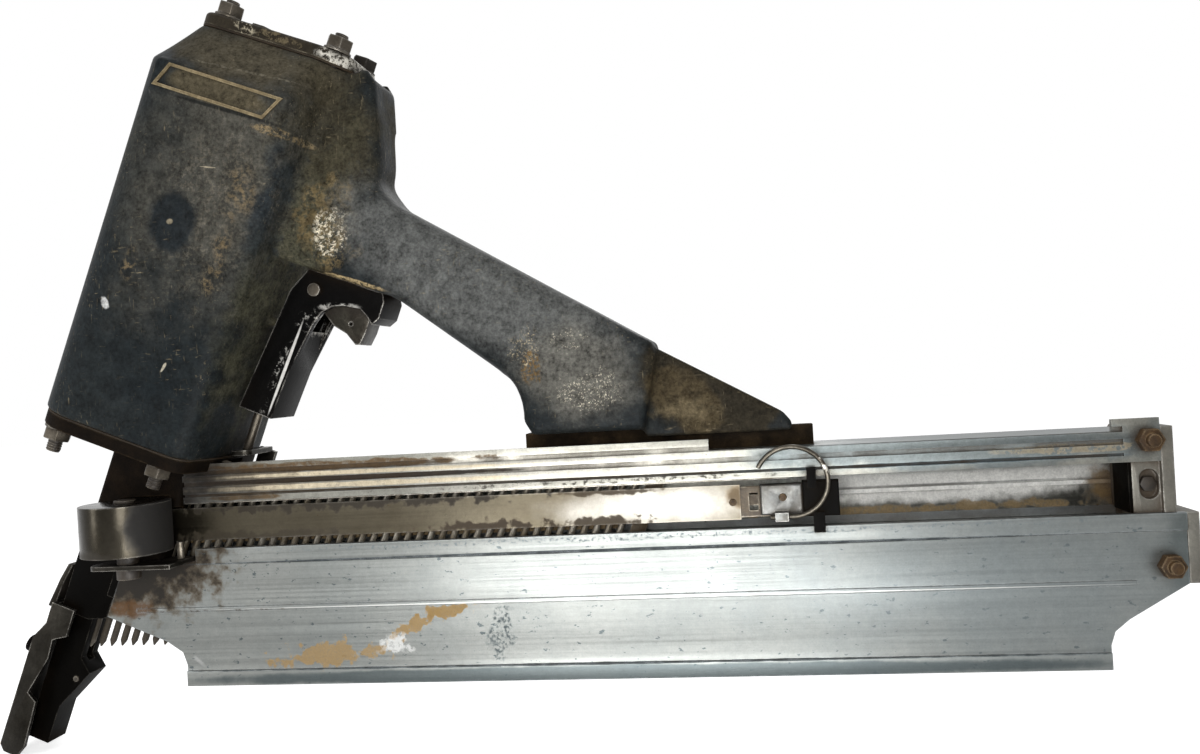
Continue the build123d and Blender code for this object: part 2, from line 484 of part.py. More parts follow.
nose -= head_slot & box(-FAR_OUT, 0, -MAG_HALF, MAG_HALF, -FAR_OUT, NAIL_TOP_Z + SLOT_ROOM)
nose -= rod(DRUM_R + NOSE_ROOM, DRUM_LOW - BAND_ROOM, DRUM_TOP + BAND_ROOM, (DRUM_X, DRUM_Y))
band_face = DRUM_Y + COIL_R
slot_y = (band_face - BAND_SLOT[0], band_face + BAND_SLOT[1])
nose -= box(DRUM_X, 0, *slot_y, BAND_LOW_Z - BAND_ROOM, BAND_TOP_Z + BAND_ROOM)
node("nose_casting", nose)
stud_end = NOSE_NUT - NUT_HEIGHT - NOSE_STUD_PROUD
node("nose_studs", *[drive(rod(STUD_R, stud_end, NOSE_STUD_DEPTH, at)) for at in NOSE_STUDS])
node("nose_washers", *[drive(tube(STUD_R, WASHER_R, NOSE_NUT, FLANGE_LOW, at)) for at in NOSE_STUDS])
node("nose_nuts", *[stud_nut(NOSE_NUT - NUT_HEIGHT, at) for at in NOSE_STUDS])

# Nosepiece with its cross pin
step_q = NOSE_UPPER[-1][1]
neck_q = NECK_LOW - FIRST_TIP
upper = [(NOSE_FRONT, neck_q), (NOSE_UPPER[0][0] + NOSE_FLARE, neck_q)] + NOSE_UPPER + [(NOSE_FRONT, step_q)]
barrel = [(NOSE_FRONT, step_q), NOSE_UPPER[-1]] + NOSE_WEDGE
barrel += [(BARREL_REAR, -BARREL_TURN), (BARREL_REAR, -BARREL_LENGTH), (NOSE_FRONT, -BARREL_LENGTH)]
nosepiece = prism(along_drive(upper, FIRST_TIP), -NOSE_HALF, NOSE_HALF)
nosepiece += prism(along_drive(barrel, FIRST_TIP), -BARREL_HALF, BARREL_HALF)
tongue_q = [NECK_LOW - q for q in TONGUE_Q]
tongue = [(p, tongue_q[0]) for p in TONGUE_P] + [(p, tongue_q[1]) for p in reversed(TONGUE_P)]
nosepiece += prism(along_drive(tongue), -WALL_IN, WALL_IN)
nosepiece -= drive(rod(CHANNEL_R, FIRST_TIP - BARREL_LENGTH, NECK_LOW, AXIS))
nosepiece -= drive(box(AXIS[0], SLOT_REAR, -SHANK_SLOT, SHANK_SLOT, FIRST_TIP - SLOT_DEPTH, NECK_LOW))
nose_pin = world(NOSE_PIN_P, FIRST_TIP - NOSE_PIN_DROP)
nosepiece -= cross_rod(NOSE_PIN_R, -BARREL_HALF, BARREL_HALF, *nose_pin)
node("nosepiece", nosepiece)
pin_half = BARREL_HALF + NOSE_PIN_PROUD
node("nosepiece_pin", cross_rod(NOSE_PIN_R, -pin_half, pin_half, *nose_pin))

# Contact trip: a bent front plate with side flanges, and an upper tab screwed to it
trip_line = [(TRIP_FRONT, FIRST_TIP + TRIP_BEND[0]), (TRIP_UPPER, FIRST_TIP + TRIP_BEND[1])]
trip_edge = [(TRIP_FRONT + TRIP_CORNER, TRIP_LOW), (TRIP_FRONT, TRIP_LOW + TRIP_CORNER)] + trip_line
trip_edge += [(TRIP_UPPER, TRIP_TOP), (TRIP_REAR[0][0], TRIP_TOP)]
trip_edge += [(p, FIRST_TIP + q) for p, q in TRIP_REAR] + [(TRIP_FOOT_REAR, TRIP_LOW)]
trip_inside = [(p + TRIP_SHEET, q) for p, q in trip_line]
trip_inside = [(TRIP_FRONT + TRIP_SHEET, TRIP_LOW - TRIP_CLEAR)] + trip_inside
trip_inside += [(TRIP_UPPER + TRIP_SHEET, TRIP_TOP + TRIP_CLEAR), (TRIP_BEHIND, TRIP_TOP + TRIP_CLEAR)]
trip_inside += [(TRIP_BEHIND, TRIP_LOW - TRIP_CLEAR)]
trip = prism(along_drive(trip_edge), -TRIP_HALF, TRIP_HALF)
trip_in = TRIP_HALF - TRIP_FLANGE
trip -= prism(along_drive(trip_inside), -trip_in, trip_in)
trip_screw = rod(TRIP_SCREW_R, -TRIP_SHEET - TRIP_SCREW_IN, 0) + rod(TRIP_SCREW_HEAD, 0, TRIP_SCREW_PROUD)
trip_screw = drive(Pos(TRIP_FRONT, TRIP_SCREW_Y, FIRST_TIP - TRIP_SCREW_DROP) * Rot(0, -90, 0) * trip_screw)
node("contact_trip", trip - trip_screw)
node("trip_screw", trip_screw)
plate_low = TRIP_RISE - TRIP_LAP
tab_plate = [(TRIP_PLATE_P, plate_low)] + TRIP_PLATE_FRONT + TRIP_PLATE_REAR
tab_plate += [(TRIP_UPPER, TRIP_RISE + TRIP_PLATE_SEAT), (TRIP_UPPER, plate_low)]
node("trip_upper_plate", prism(along_drive(tab_plate, FIRST_TIP), -NOSE_HALF, YOKE_NEAR))

# Yoke on the far side, with the link rod and its spring
yoke_edge = YOKE_UPPER + [(p, FIRST_TIP + q) for p, q in YOKE_LOWER] + [YOKE_INNER]
yoke_far = YOKE_NEAR + TRIP_SHEET
yoke = prism(along_drive(yoke_edge), YOKE_NEAR, yoke_far)
tab = box(*TAB_X, -TAB_HALF, yoke_far, TAB_Z, TAB_Z + TAB_THICK)
tab = fillet(tab.edges().filter_by(Axis.Z), TAB_ROUND)
rod_foot = (TAB_Z + TAB_THICK - BASE_Z + ROD_P * sin(LEAN)) / cos(LEAN) - ROD_FOOT
link = drive(rod(ROD_R, rod_foot, ROD_TOP, (ROD_P, 0)))
link -= box(-FAR_OUT, 0, -MAG_HALF, MAG_HALF, -FAR_OUT, TAB_Z)
yoke += tab - link
node("trip_yoke", yoke)
node("link_rod", link)
node("trip_spring", drive(tube(SPRING_INSIDE, ROD_R + SPRING_OUTSIDE, ROD_TOP, SHELF_Q, (ROD_P, 0))))

# Trigger guard: a bent channel, open towards the casting
guard_edge = GUARD_FRONT + GUARD_REAR + GUARD_TOP
guard_hollow = [(p + GUARD_SHIFT[0], q + GUARD_SHIFT[1]) for p, q in guard_edge]
guard = prism(along_drive(guard_edge, LEDGE_Q), -GUARD_HALF, GUARD_HALF)
guard -= prism(along_drive(guard_hollow, LEDGE_Q), -GUARD_IN, GUARD_IN)
rod_slot = [LEDGE_Q + q for q in ROD_SLOT_Q]
guard -= drive(box(ROD_SLOT_P, ROD_P + ROD_R + ROD_SLOT_ROOM, -GUARD_IN, GUARD_IN, *rod_slot))
slot_half = LEVER_HALF + FREE_GAP * 2
lever_slot = [LEDGE_Q + q for q in LEVER_SLOT_Q]
guard -= drive(box(*LEVER_SLOT_P, -slot_half, slot_half, *lever_slot))
guard -= cross_rod(PIN_R, -GUARD_HALF, GUARD_HALF, PIN_X, PIN_Z)
node("trigger_guard", guard)
trigger_pin = cross_rod(PIN_R, -GUARD_HALF, GUARD_HALF, PIN_X, PIN_Z)
trigger_pin += cross_rod(PIN_R + PIN_HEAD, -GUARD_HALF - PIN_HEAD_HIGH, -GUARD_HALF, PIN_X, PIN_Z)
trigger_pin += cross_rod(PIN_R + PIN_TAIL, GUARD_HALF, GUARD_HALF + PIN_TAIL_HIGH, PIN_X, PIN_Z)
node("trigger_pin", trigger_pin)

# Trigger lever: a small channel that swings on the pin
lever_edge = LEVER_TOP + [(VALVE_P, -STEM_DROP - FREE_GAP)] + LEVER_TIP + LEVER_PULL
lever_hollow = [(p - LEVER_SHEET * 0.8, q - LEVER_SHEET) for p, q in lever_edge]
lever_in = LEVER_HALF - LEVER_SHEET
lever = prism(along_drive(lever_edge, LEDGE_Q), -LEVER_HALF, LEVER_HALF)
lever -= prism(along_drive(lever_hollow, LEDGE_Q), -lever_in, lever_in)
hole_p, hole_q, hole_r = LEVER_HOLE
lever -= cross_rod(hole_r, -LEVER_HALF, LEVER_HALF, *world(hole_p, LEDGE_Q + hole_q))
lever -= cross_rod(PIN_R + RUN_FIT, -LEVER_HALF, LEVER_HALF, PIN_X, PIN_Z)
node("trigger_lever", lever)

# Trigger valve: body, seals, stem and spring
at_valve = (VALVE_P, 0)
valve_body = rod(VALVE_BODY_R, LEDGE_Q, VALVE_BODY_TOP, at_valve)
valve_body -= rod(STEM_R + RUN_FIT, LEDGE_Q, CHAMBER_TOP, at_valve)
valve_body -= rod(CHAMBER_R, LEDGE_Q + CHAMBER_RISE, CHAMBER_TOP, at_valve)
seal_lows = (LEDGE_Q + VALVE_SEAL_LOW, VALVE_BODY_TOP - VALVE_SEAL_HIGH)
valve_seals = [tube(VALVE_BODY_R - SEAL_DEPTH, VALVE_BODY_R, q, q + SEAL_HEIGHT, at_valve) for q in seal_lows]
for seal in valve_seals:
    valve_body -= seal
node("trigger_valve_body", drive(valve_body))
node("valve_seals", *[drive(seal) for seal in valve_seals])
collar_low = LEDGE_Q + STEM_COLLAR_RISE
collar_top = collar_low + STEM_COLLAR
stem = rod(STEM_R, STEM_LOW, LEDGE_Q + STEM_HIGH, at_valve)
stem += rod(STEM_COLLAR_R, collar_low, collar_top, at_valve)
node("valve_stem", drive(stem))
stem_spring = tube(STEM_R + STEM_SPRING_IN, CHAMBER_R - STEM_SPRING_OUT, collar_top, CHAMBER_TOP, at_valve)
node("valve_spring", drive(stem_spring))

# Air inlet bushing
bushing = rod(BUSHING_R, -BUSHING_DEPTH, 0) + hexagon(BUSHING_AF, 0, BUSHING_COLLAR)
bushing -= rod(INLET_R, -BUSHING_DEPTH, BUSHING_COLLAR)
node("air_inlet_bushing", Pos(INLET_X, INLET_Y, INLET_Z) * Rot(0, 90, 0) * bushing)

# Upper magazine rail
rail = box(MAG_LEFT, MAG_RIGHT, -MAG_HALF, MAG_HALF, WEB_LOW, WEB_TOP)
rail += box(MAG_LEFT, MAG_RIGHT, -MAG_HALF, -WALL_IN, WINDOW_TOP, LIP_TOP)
rail += box(MAG_LEFT, MAG_RIGHT, WALL_IN, MAG_HALF, WINDOW_LOW, FAR_LIP_TOP)
for side in (-1, 1):
    guide = sorted((side * GUIDE_IN, side * (GUIDE_IN + GUIDE_WALL)))
    rail += box(MAG_LEFT, MAG_RIGHT - GUIDE_END, *guide, WINDOW_TOP, WEB_LOW)
rail -= box(LIP_CUT, LIP_END, -MAG_HALF, 0, WEB_TOP, LIP_TOP)
rail -= box(LIP_CUT, MAG_RIGHT, 0, MAG_HALF, WEB_TOP, LIP_TOP)
for groove_top, groove_low in GROOVES:
    rail -= box(MAG_LEFT, MAG_RIGHT - GROOVE_END, -MAG_HALF, -MAG_HALF + GROOVE_DEPTH, groove_low, groove_top)
ridge_mid = (WINDOW_TOP + WINDOW_LOW) / 2
ridge_z = (ridge_mid - RIDGE_HALF, ridge_mid + RIDGE_HALF)
rail += box(MAG_LEFT, MAG_RIGHT, WALL_IN - RIDGE_PROUD, WALL_IN, *ridge_z)
for x in BRACKET_SCREW_X:
    rail -= rod(BRACKET_SCREW_R, WEB_LOW, WEB_TOP, (x, BRACKET_SCREW_Y))
rail -= cross_rod(BOLT_R, -MAG_HALF, MAG_HALF, *UPPER_BOLT)
node("magazine_upper_rail", rail)

# Lower magazine rail: two plates with beads, guide shelves, ribs and thick lower lips
plate_top = WINDOW_LOW - PLATE_EDGE
exit_z = NAIL_TIP_Z + EXIT_RISE
plate_edge = [(left_edge(plate_top), plate_top), (left_edge(exit_z), exit_z)]
plate_edge += [(x, NAIL_TIP_Z + z) for x, z in EXIT_CURVE]
plate_edge += [(LOWER_LEFT, NAIL_TIP_Z - CURVE_DROP), (LOWER_LEFT, PLATE_LOW)]
plate_edge += [(LOWER_TURN, PLATE_LOW), (LOWER_TURN, NAIL_TIP_Z - CURVE_DROP)]
plate_edge += [(x, NAIL_TIP_Z + z) for x, z in REAR_CURVE]
plate_edge += [(LOWER_RIGHT, NAIL_TIP_Z + CORNER_RISE), (LOWER_RIGHT, plate_top)]
LOWER_BOLT = (LOWER_BOLT_X, NAIL_TIP_Z + LOWER_BOLT_RISE)
rib_z = (NAIL_TIP_Z + RIB_RISE, NAIL_TIP_Z + RIB_RISE + RIB_HEIGHT)
near_plate = prism(plate_edge, -MAG_HALF, -WALL_IN)
near_plate += box(BEAD_LEFT, LOWER_RIGHT, -MAG_HALF - BEAD_PROUD, -WALL_IN, BEAD_LOW, WINDOW_LOW)
near_plate += box(LOWER_LEFT, LOWER_TURN, -MAG_HALF - LIP_PROUD, -WALL_IN + LIP_INSIDE, PLATE_LOW, LIP_LOW)
shelf_z = (NAIL_SHELF_LOW, NAIL_SHELF_TOP)
near_plate += box(BEAD_LEFT, LOWER_RIGHT - NAIL_SHELF_END, -WALL_IN, -NAIL_SHELF_IN, *shelf_z)
near_plate += box(*RIB_X, -MAG_HALF - RIB_PROUD, -MAG_HALF, *rib_z)
near_plate -= cross_rod(BOLT_R, -MAG_HALF, MAG_HALF, *LOWER_BOLT)
node("magazine_near_plate", near_plate)
node("magazine_far_plate", mirror(near_plate, Plane.XZ))
strip_y = (-MAG_HALF + STRIP_SINK, -WALL_IN + STRIP_INSIDE)
node("wear_strip", box(MAG_LEFT, STRIP_END, *strip_y, WINDOW_TOP - STRIP_THICK, WINDOW_TOP))

# Rear end: casting, stop plate and through bolts
end_low = NAIL_TIP_Z + CORNER_RISE
end_step = WINDOW_LOW - END_FOOT
end_in = WALL_IN - RIDGE_PROUD
end_block = box(END_FRONT, MAG_RIGHT, -WALL_IN, end_in, WINDOW_LOW, WEB_LOW)
end_block += box(MAG_RIGHT, MAG_RIGHT + END_WALL, -MAG_HALF, MAG_HALF, WINDOW_LOW, WEB_TOP + END_CAP)
end_block += box(END_STEP, LOWER_RIGHT + END_WALL, -WALL_IN, end_in, end_step, WINDOW_LOW)
end_block += box(END_INSIDE, LOWER_RIGHT + END_WALL, -WALL_IN, WALL_IN, end_low + RIB_HEIGHT, end_step)
end_block += box(LOWER_RIGHT, LOWER_RIGHT + END_WALL, -MAG_HALF, MAG_HALF, end_low, WINDOW_LOW)
recess = extrude(SlotOverall(RECESS_LONG, RECESS_WIDE, rotation=90), amount=RECESS_DEEP, both=True)
end_block -= Pos(RECESS_X, -WALL_IN, RECESS_Z) * Rot(90, 0, 0) * recess
end_block -= cross_rod(BOLT_R, -MAG_HALF, MAG_HALF, *UPPER_BOLT)
end_block -= cross_rod(BOLT_R, -MAG_HALF, MAG_HALF, *LOWER_BOLT)
end_block -= box(END_FRONT, MAG_RIGHT, end_in, WALL_IN, *ridge_z)
node("rear_end_block", end_block)
node("rear_stop_plate", box(END_FRONT - STOP_THICK, END_FRONT, -WALL_IN, GUIDE_IN, WINDOW_LOW, WINDOW_TOP))


def bolt_shank(at):
    """Make a through bolt's shank, from the near face to past its nut."""
    return cross_rod(BOLT_R, -MAG_HALF, MAG_HALF + NUT_HEIGHT + STUD_PROUD, *at)


def bolt(at):
    """Make a through bolt with its head on the near side."""
    head = hexagon(BOLT_AF, 0, BOLT_HEAD) + rod(BOLT_R, BOLT_HEAD, BOLT_HEAD + BOLT_TIP)
    return bolt_shank(at) + Pos(at[0], -MAG_HALF, at[1]) * Rot(90, 0, 0) * head


def bolt_nut(at):
    """Make the nut on a bolt's far end."""
    return Pos(at[0], MAG_HALF, at[1]) * Rot(-90, 0, 0) * hexagon(BOLT_AF, 0, NUT_HEIGHT) - bolt_shank(at)


node("rear_bolts", bolt(UPPER_BOLT), bolt(LOWER_BOLT))
node("rear_nuts", bolt_nut(UPPER_BOLT), bolt_nut(LOWER_BOLT))
recess_nut = hexagon(RECESS_NUT_AF, 0, RECESS_NUT)
node("recess_nut", Pos(RECESS_X, -WALL_IN + RECESS_DEEP, RECESS_Z) * Rot(90, 0, 0) * recess_nut)

# Tail bracket between the rail and the end block
bracket = box(*BRACKET_X, *BRACKET_Y, WEB_TOP, BLOCK_LOW)
bracket += box(BRACKET_X[1], TAIL_END, -TAIL_HALF, TAIL_HALF, WEB_TOP, BLOCK_LOW - TAIL_STEP)
screws = []
for x in BRACKET_SCREW_X:
    at_screw = (x, BRACKET_SCREW_Y)
    screw = rod(BRACKET_SCREW_R, WEB_LOW, BLOCK_LOW + BRACKET_SCREW_DEPTH, at_screw)
    bracket -= screw
    screws.append(screw + rod(BRACKET_SCREW_R + SCREW_HEAD_GROW, WEB_LOW - SCREW_HEAD, WEB_LOW, at_screw))
node("handle_bracket", bracket)
node("bracket_screws", *screws)


def nail_place(index):
    """Give p and the tip's q for one nail of the strip."""
    p = FIRST_P + index * NAIL_PITCH * cos(LEAN)
    return p, (NAIL_TIP_Z - BASE_Z + p * sin(LEAN)) / cos(LEAN)


def nail(index):
    """Make one nail of the strip, with a clipped head and a point."""
    p, tip = nail_place(index)
    top = tip + NAIL_LENGTH
    low = top - NAIL_HEAD
    shank = rod(NAIL_R, tip + NAIL_POINT, low)
    shank += Pos(0, 0, tip + NAIL_POINT / 2) * Cone(NAIL_TIP_R, NAIL_R, NAIL_POINT)
    head = rod(NAIL_HEAD_R, low, top) & box(-NAIL_HEAD_R, NAIL_CLIP, -NAIL_HEAD_R, NAIL_HEAD_R, low, top)
    return drive(Pos(p, 0, 0) * (shank + head))


# Nails held in a strip by two paper tapes
node("nail_strip", *[nail(index) for index in range(NAIL_COUNT)])
first_p, first_q = nail_place(0)
last_p, last_q = nail_place(NAIL_COUNT - 1)
tapes = []
for share in TAPE_SHARE:
    low = share * NAIL_LENGTH
    high = low + TAPE_HEIGHT
    edge = [(first_p - TAPE_PAST, first_q + low), (last_p + TAPE_PAST, last_q + low)]
    edge += [(last_p + TAPE_PAST, last_q + high), (first_p - TAPE_PAST, first_q + high)]
    tapes.append(prism(along_drive(edge), NAIL_R, NAIL_R + TAPE))
node("nail_tape", *tapes)

# Feed spring: drum, axle, bar, coil and band
at_drum = (DRUM_X, DRUM_Y)
drum = rod(DRUM_R, DRUM_LOW, DRUM_TOP, at_drum)
drum -= rod(DRUM_R - DRUM_WALL, DRUM_LOW + DRUM_WALL, DRUM_TOP - DRUM_WALL, at_drum)
mouth = [DRUM_X + x for x in DRUM_MOUTH]
mouth_y = (band_face - MOUTH_IN, band_face + MOUTH_OUT)
drum -= box(*mouth, *mouth_y, BAND_LOW_Z - MOUTH_ROOM, BAND_TOP_Z + MOUTH_ROOM)
drum -= rod(AXLE_R, DRUM_LOW, DRUM_TOP, at_drum)
node("spring_drum", drum)
bar_low = WINDOW_LOW - PLATE_EDGE
bar_top = bar_low + BAR_THICK
axle = rod(AXLE_R, bar_low, DRUM_TOP, at_drum)
axle += rod(AXLE_R + AXLE_NUT, bar_low - AXLE_NUT_HIGH, bar_low, at_drum)
axle += rod(AXLE_R + AXLE_COLLAR, bar_top, DRUM_LOW, at_drum)
axle += rod(AXLE_R + AXLE_COLLAR, DRUM_TOP, DRUM_TOP + AXLE_CAP, at_drum)
node("drum_axle", axle)
bar = box(*BAR_X, DRUM_Y - BAR_HALF, DRUM_Y + BAR_HALF, bar_low, bar_top)
bar += box(BAR_X[1] - BAR_ARM, BAR_X[1], DRUM_Y, -WALL_IN, bar_low, bar_top)
bar = fillet(bar.edges().filter_by(Axis.Z).group_by(Axis.X)[0], BAR_ROUND)
node("drum_bracket", bar - rod(AXLE_R, bar_low, bar_top, at_drum))
node("bracket_pin", rod(BRACKET_PIN_R, bar_top, bar_top + BRACKET_PIN_HIGH, BRACKET_PIN))
node("spring_coil", tube(COIL_HOLE, COIL_R, BAND_LOW_Z, BAND_TOP_Z, at_drum))

# Pusher: plate with its foot, cast block, follower and rivets
plate_near = band_face + BAND_THICK
plate_far = plate_near + PUSHER_THICK
pusher_plate = box(*PUSHER_X, plate_near, plate_far, *PUSHER_Z)
pusher_plate -= box(*PUSHER_SLOT_X, plate_near, plate_far, *PUSHER_SLOT_Z)
strip_x, strip_z = world(last_p, 0)
foot_x = strip_x + (FOOT_Z - strip_z) * tan(LEAN) + FOOT_GAP
foot_low = NAIL_TIP_Z + FOOT_RISE
foot = [(FOOT_TOP, 0), (foot_low, 0), (foot_low, FOOT_WIDE[0]), (FOOT_TOP, FOOT_WIDE[1])]
foot = [(foot_x + (z - FOOT_Z) * tan(LEAN) + wide, z) for z, wide in foot]
pusher_plate += prism(foot, -FOOT_HALF, FOOT_HALF)
pusher_plate += box(foot_x + FOOT_ARM_IN, FOOT_ARM_X, plate_far, FOOT_HALF, *FOOT_ARM_Z)
pusher_block = box(*PUSH_BLOCK_X, PUSH_BLOCK_NEAR, plate_near, *PUSH_BLOCK_Z)
pusher_block = fillet(pusher_block.edges().group_by(Axis.Y)[0], PUSH_BLOCK_ROUND)
lug_y = (RING_PIN_Y - LUG_NEAR, PUSH_BLOCK_NEAR + LUG_IN)
pusher_block += box(*LUG_X, *lug_y, RING_PIN_Z - LUG_LOW, RING_PIN_Z + LUG_HIGH)
lug_mid = (LUG_X[0] + LUG_X[1]) / 2
lug_long = (LUG_X[1] - LUG_X[0]) * 2
pusher_block -= Pos(lug_mid, RING_PIN_Y, RING_PIN_Z) * Rot(0, 90, 0) * Cylinder(WIRE_R + RUN_FIT, lug_long)
follower = box(*FOLLOWER_X, FOLLOWER_NEAR, plate_near, *FOLLOWER_Z)
follower = fillet(follower.edges().group_by(Axis.Y)[0], FOLLOWER_ROUND)
follower += box(*HORN_X, HORN_NEAR, FOLLOWER_NEAR, *HORN_Z)
follower += box(*HORN_X, HORN_NEAR, FOLLOWER_NEAR + HORN_IN, HORN_Z[0], FOLLOWER_Z[1])
follower += box(*HOOK_X, HOOK_NEAR, HOOK_FAR, *HOOK_Z)
follower += box(*HOOK_X, HOOK_NEAR, FOLLOWER_NEAR + HORN_IN, FOLLOWER_Z[0], HOOK_Z[1])
follower -= box(RELIEF_X, FOLLOWER_X[1], plate_near - RELIEF_DEEP, plate_near, *FOLLOWER_Z)
rivets = [
    cross_rod(RIVET_R, plate_near - RIVET_PROUD[0], plate_far, *RIVET_PLATE),
    cross_rod(RIVET_R, PUSH_BLOCK_NEAR - RIVET_PROUD[1], plate_far, *RIVET_BLOCK),
]
band = box(DRUM_X, BAND_END, band_face, plate_near, BAND_LOW_Z, BAND_TOP_Z)
for rivet in rivets:
    band -= rivet
    pusher_plate -= rivet
    pusher_block -= rivet
node("spring_band", band)
node("pusher_plate", pusher_plate)
node("pusher_block", pusher_block)
node("pusher_follower", follower)
node("pusher_rivets", *rivets)

# Pull ring: a bent wire whose straight end turns in the block's lug
hub = Plane(origin=(RING_X, RING_PIN_Y, RING_PIN_Z + RING_R), x_dir=(1, 0, 0), z_dir=(0, -1, 0))
arc = hub * CenterArc((0, 0), RING_R, -90, RING_SWEEP)
straight = Line((RING_X - RING_STRAIGHT, RING_PIN_Y, RING_PIN_Z), (RING_X, RING_PIN_Y, RING_PIN_Z))
path = Wire([straight, arc])
wire_face = Plane(origin=path @ 0, z_dir=path % 0) * Circle(WIRE_R)
pull_ring = sweep(wire_face, path=path)
node("pull_ring", pull_ring.rotate(Axis((0, RING_PIN_Y, RING_PIN_Z), (1, 0, 0)), RING_LEAN))
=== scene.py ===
"""Looks for a worn air-driven strip nailer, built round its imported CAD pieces."""

from __future__ import annotations

import json
import logging
import math
from dataclasses import dataclass, replace
from enum import Enum
from functools import cache

import bmesh
import bpy
from mathutils import Matrix, Vector

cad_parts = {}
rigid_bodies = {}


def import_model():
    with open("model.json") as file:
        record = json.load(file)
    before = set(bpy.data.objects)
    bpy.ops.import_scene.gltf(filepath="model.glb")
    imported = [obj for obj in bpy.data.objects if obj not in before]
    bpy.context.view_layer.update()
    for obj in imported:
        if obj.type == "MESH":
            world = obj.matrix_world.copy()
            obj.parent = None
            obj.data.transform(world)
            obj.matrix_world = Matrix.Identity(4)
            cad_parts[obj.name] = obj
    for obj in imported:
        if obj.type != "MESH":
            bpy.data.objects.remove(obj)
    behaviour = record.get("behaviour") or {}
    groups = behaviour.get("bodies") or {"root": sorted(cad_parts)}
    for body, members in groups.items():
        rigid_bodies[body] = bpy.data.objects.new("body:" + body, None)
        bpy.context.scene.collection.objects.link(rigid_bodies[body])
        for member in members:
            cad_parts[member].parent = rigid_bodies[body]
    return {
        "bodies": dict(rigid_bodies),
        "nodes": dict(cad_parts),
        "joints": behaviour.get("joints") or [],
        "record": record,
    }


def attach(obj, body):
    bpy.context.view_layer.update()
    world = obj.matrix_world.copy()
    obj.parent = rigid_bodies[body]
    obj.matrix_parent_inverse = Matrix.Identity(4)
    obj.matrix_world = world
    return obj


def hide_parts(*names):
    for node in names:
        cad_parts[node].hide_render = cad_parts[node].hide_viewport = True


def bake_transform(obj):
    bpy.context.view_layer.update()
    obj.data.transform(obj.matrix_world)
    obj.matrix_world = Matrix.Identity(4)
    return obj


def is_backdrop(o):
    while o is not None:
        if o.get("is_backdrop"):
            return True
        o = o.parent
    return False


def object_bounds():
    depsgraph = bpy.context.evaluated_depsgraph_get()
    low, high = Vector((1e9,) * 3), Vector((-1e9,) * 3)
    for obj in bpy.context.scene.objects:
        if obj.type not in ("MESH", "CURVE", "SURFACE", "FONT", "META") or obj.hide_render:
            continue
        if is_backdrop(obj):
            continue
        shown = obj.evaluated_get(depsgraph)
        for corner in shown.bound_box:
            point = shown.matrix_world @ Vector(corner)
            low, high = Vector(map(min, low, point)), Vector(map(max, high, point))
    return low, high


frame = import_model()

LOG = logging.getLogger("strip_nailer")
MM = 0.001
LEAN_DEGREES = 22.0
LEAN = math.radians(LEAN_DEGREES)
DRIVE_BASE = Vector((-162.0, 0.0, -61.0))
DRIVE_ALONG = Vector((math.sin(LEAN), 0.0, math.cos(LEAN)))
DRIVE_ACROSS = Vector((math.cos(LEAN), 0.0, -math.sin(LEAN)))

# Reach of a mark across the tool: its middle and half its width, in millimetres
EVERYWHERE = (0.0, 9000.0)
NEAR = (-60.0, 60.0)
INNER = (12.0, 2.9)
BAND_SIDE = (-42.0, 8.0)
FAR_NUTS = (18.0, 14.0)

Colour = tuple[float, float, float]
Triple = tuple[float, float, float]
Pair = tuple[float, float]
Socket = bpy.types.NodeSocket
NodeTree = bpy.types.NodeTree
Piece = bpy.types.Object


def tone(red: int, green: int, blue: int) -> Colour:
    """Turn a display colour of 0 to 255 into a linear one."""
    shares = (value / 255.0 for value in (red, green, blue))
    return tuple(s / 12.92 if s <= 0.04045 else ((s + 0.055) / 1.055) ** 2.4 for s in shares)


def drive_point(p: float, y: float, q: float) -> Vector:
    """Give the point, in millimetres, p to the rear of the drive line, y across it and q up from the foot."""
    return DRIVE_BASE + DRIVE_ALONG * q + DRIVE_ACROSS * p + Vector((0.0, y, 0.0))


def on_drive(place: Vector) -> Pair:
    """Give p and q, in millimetres, of a point of the tool's frame."""
    offset = place - DRIVE_BASE
    return offset.dot(DRIVE_ACROSS), offset.dot(DRIVE_ALONG)


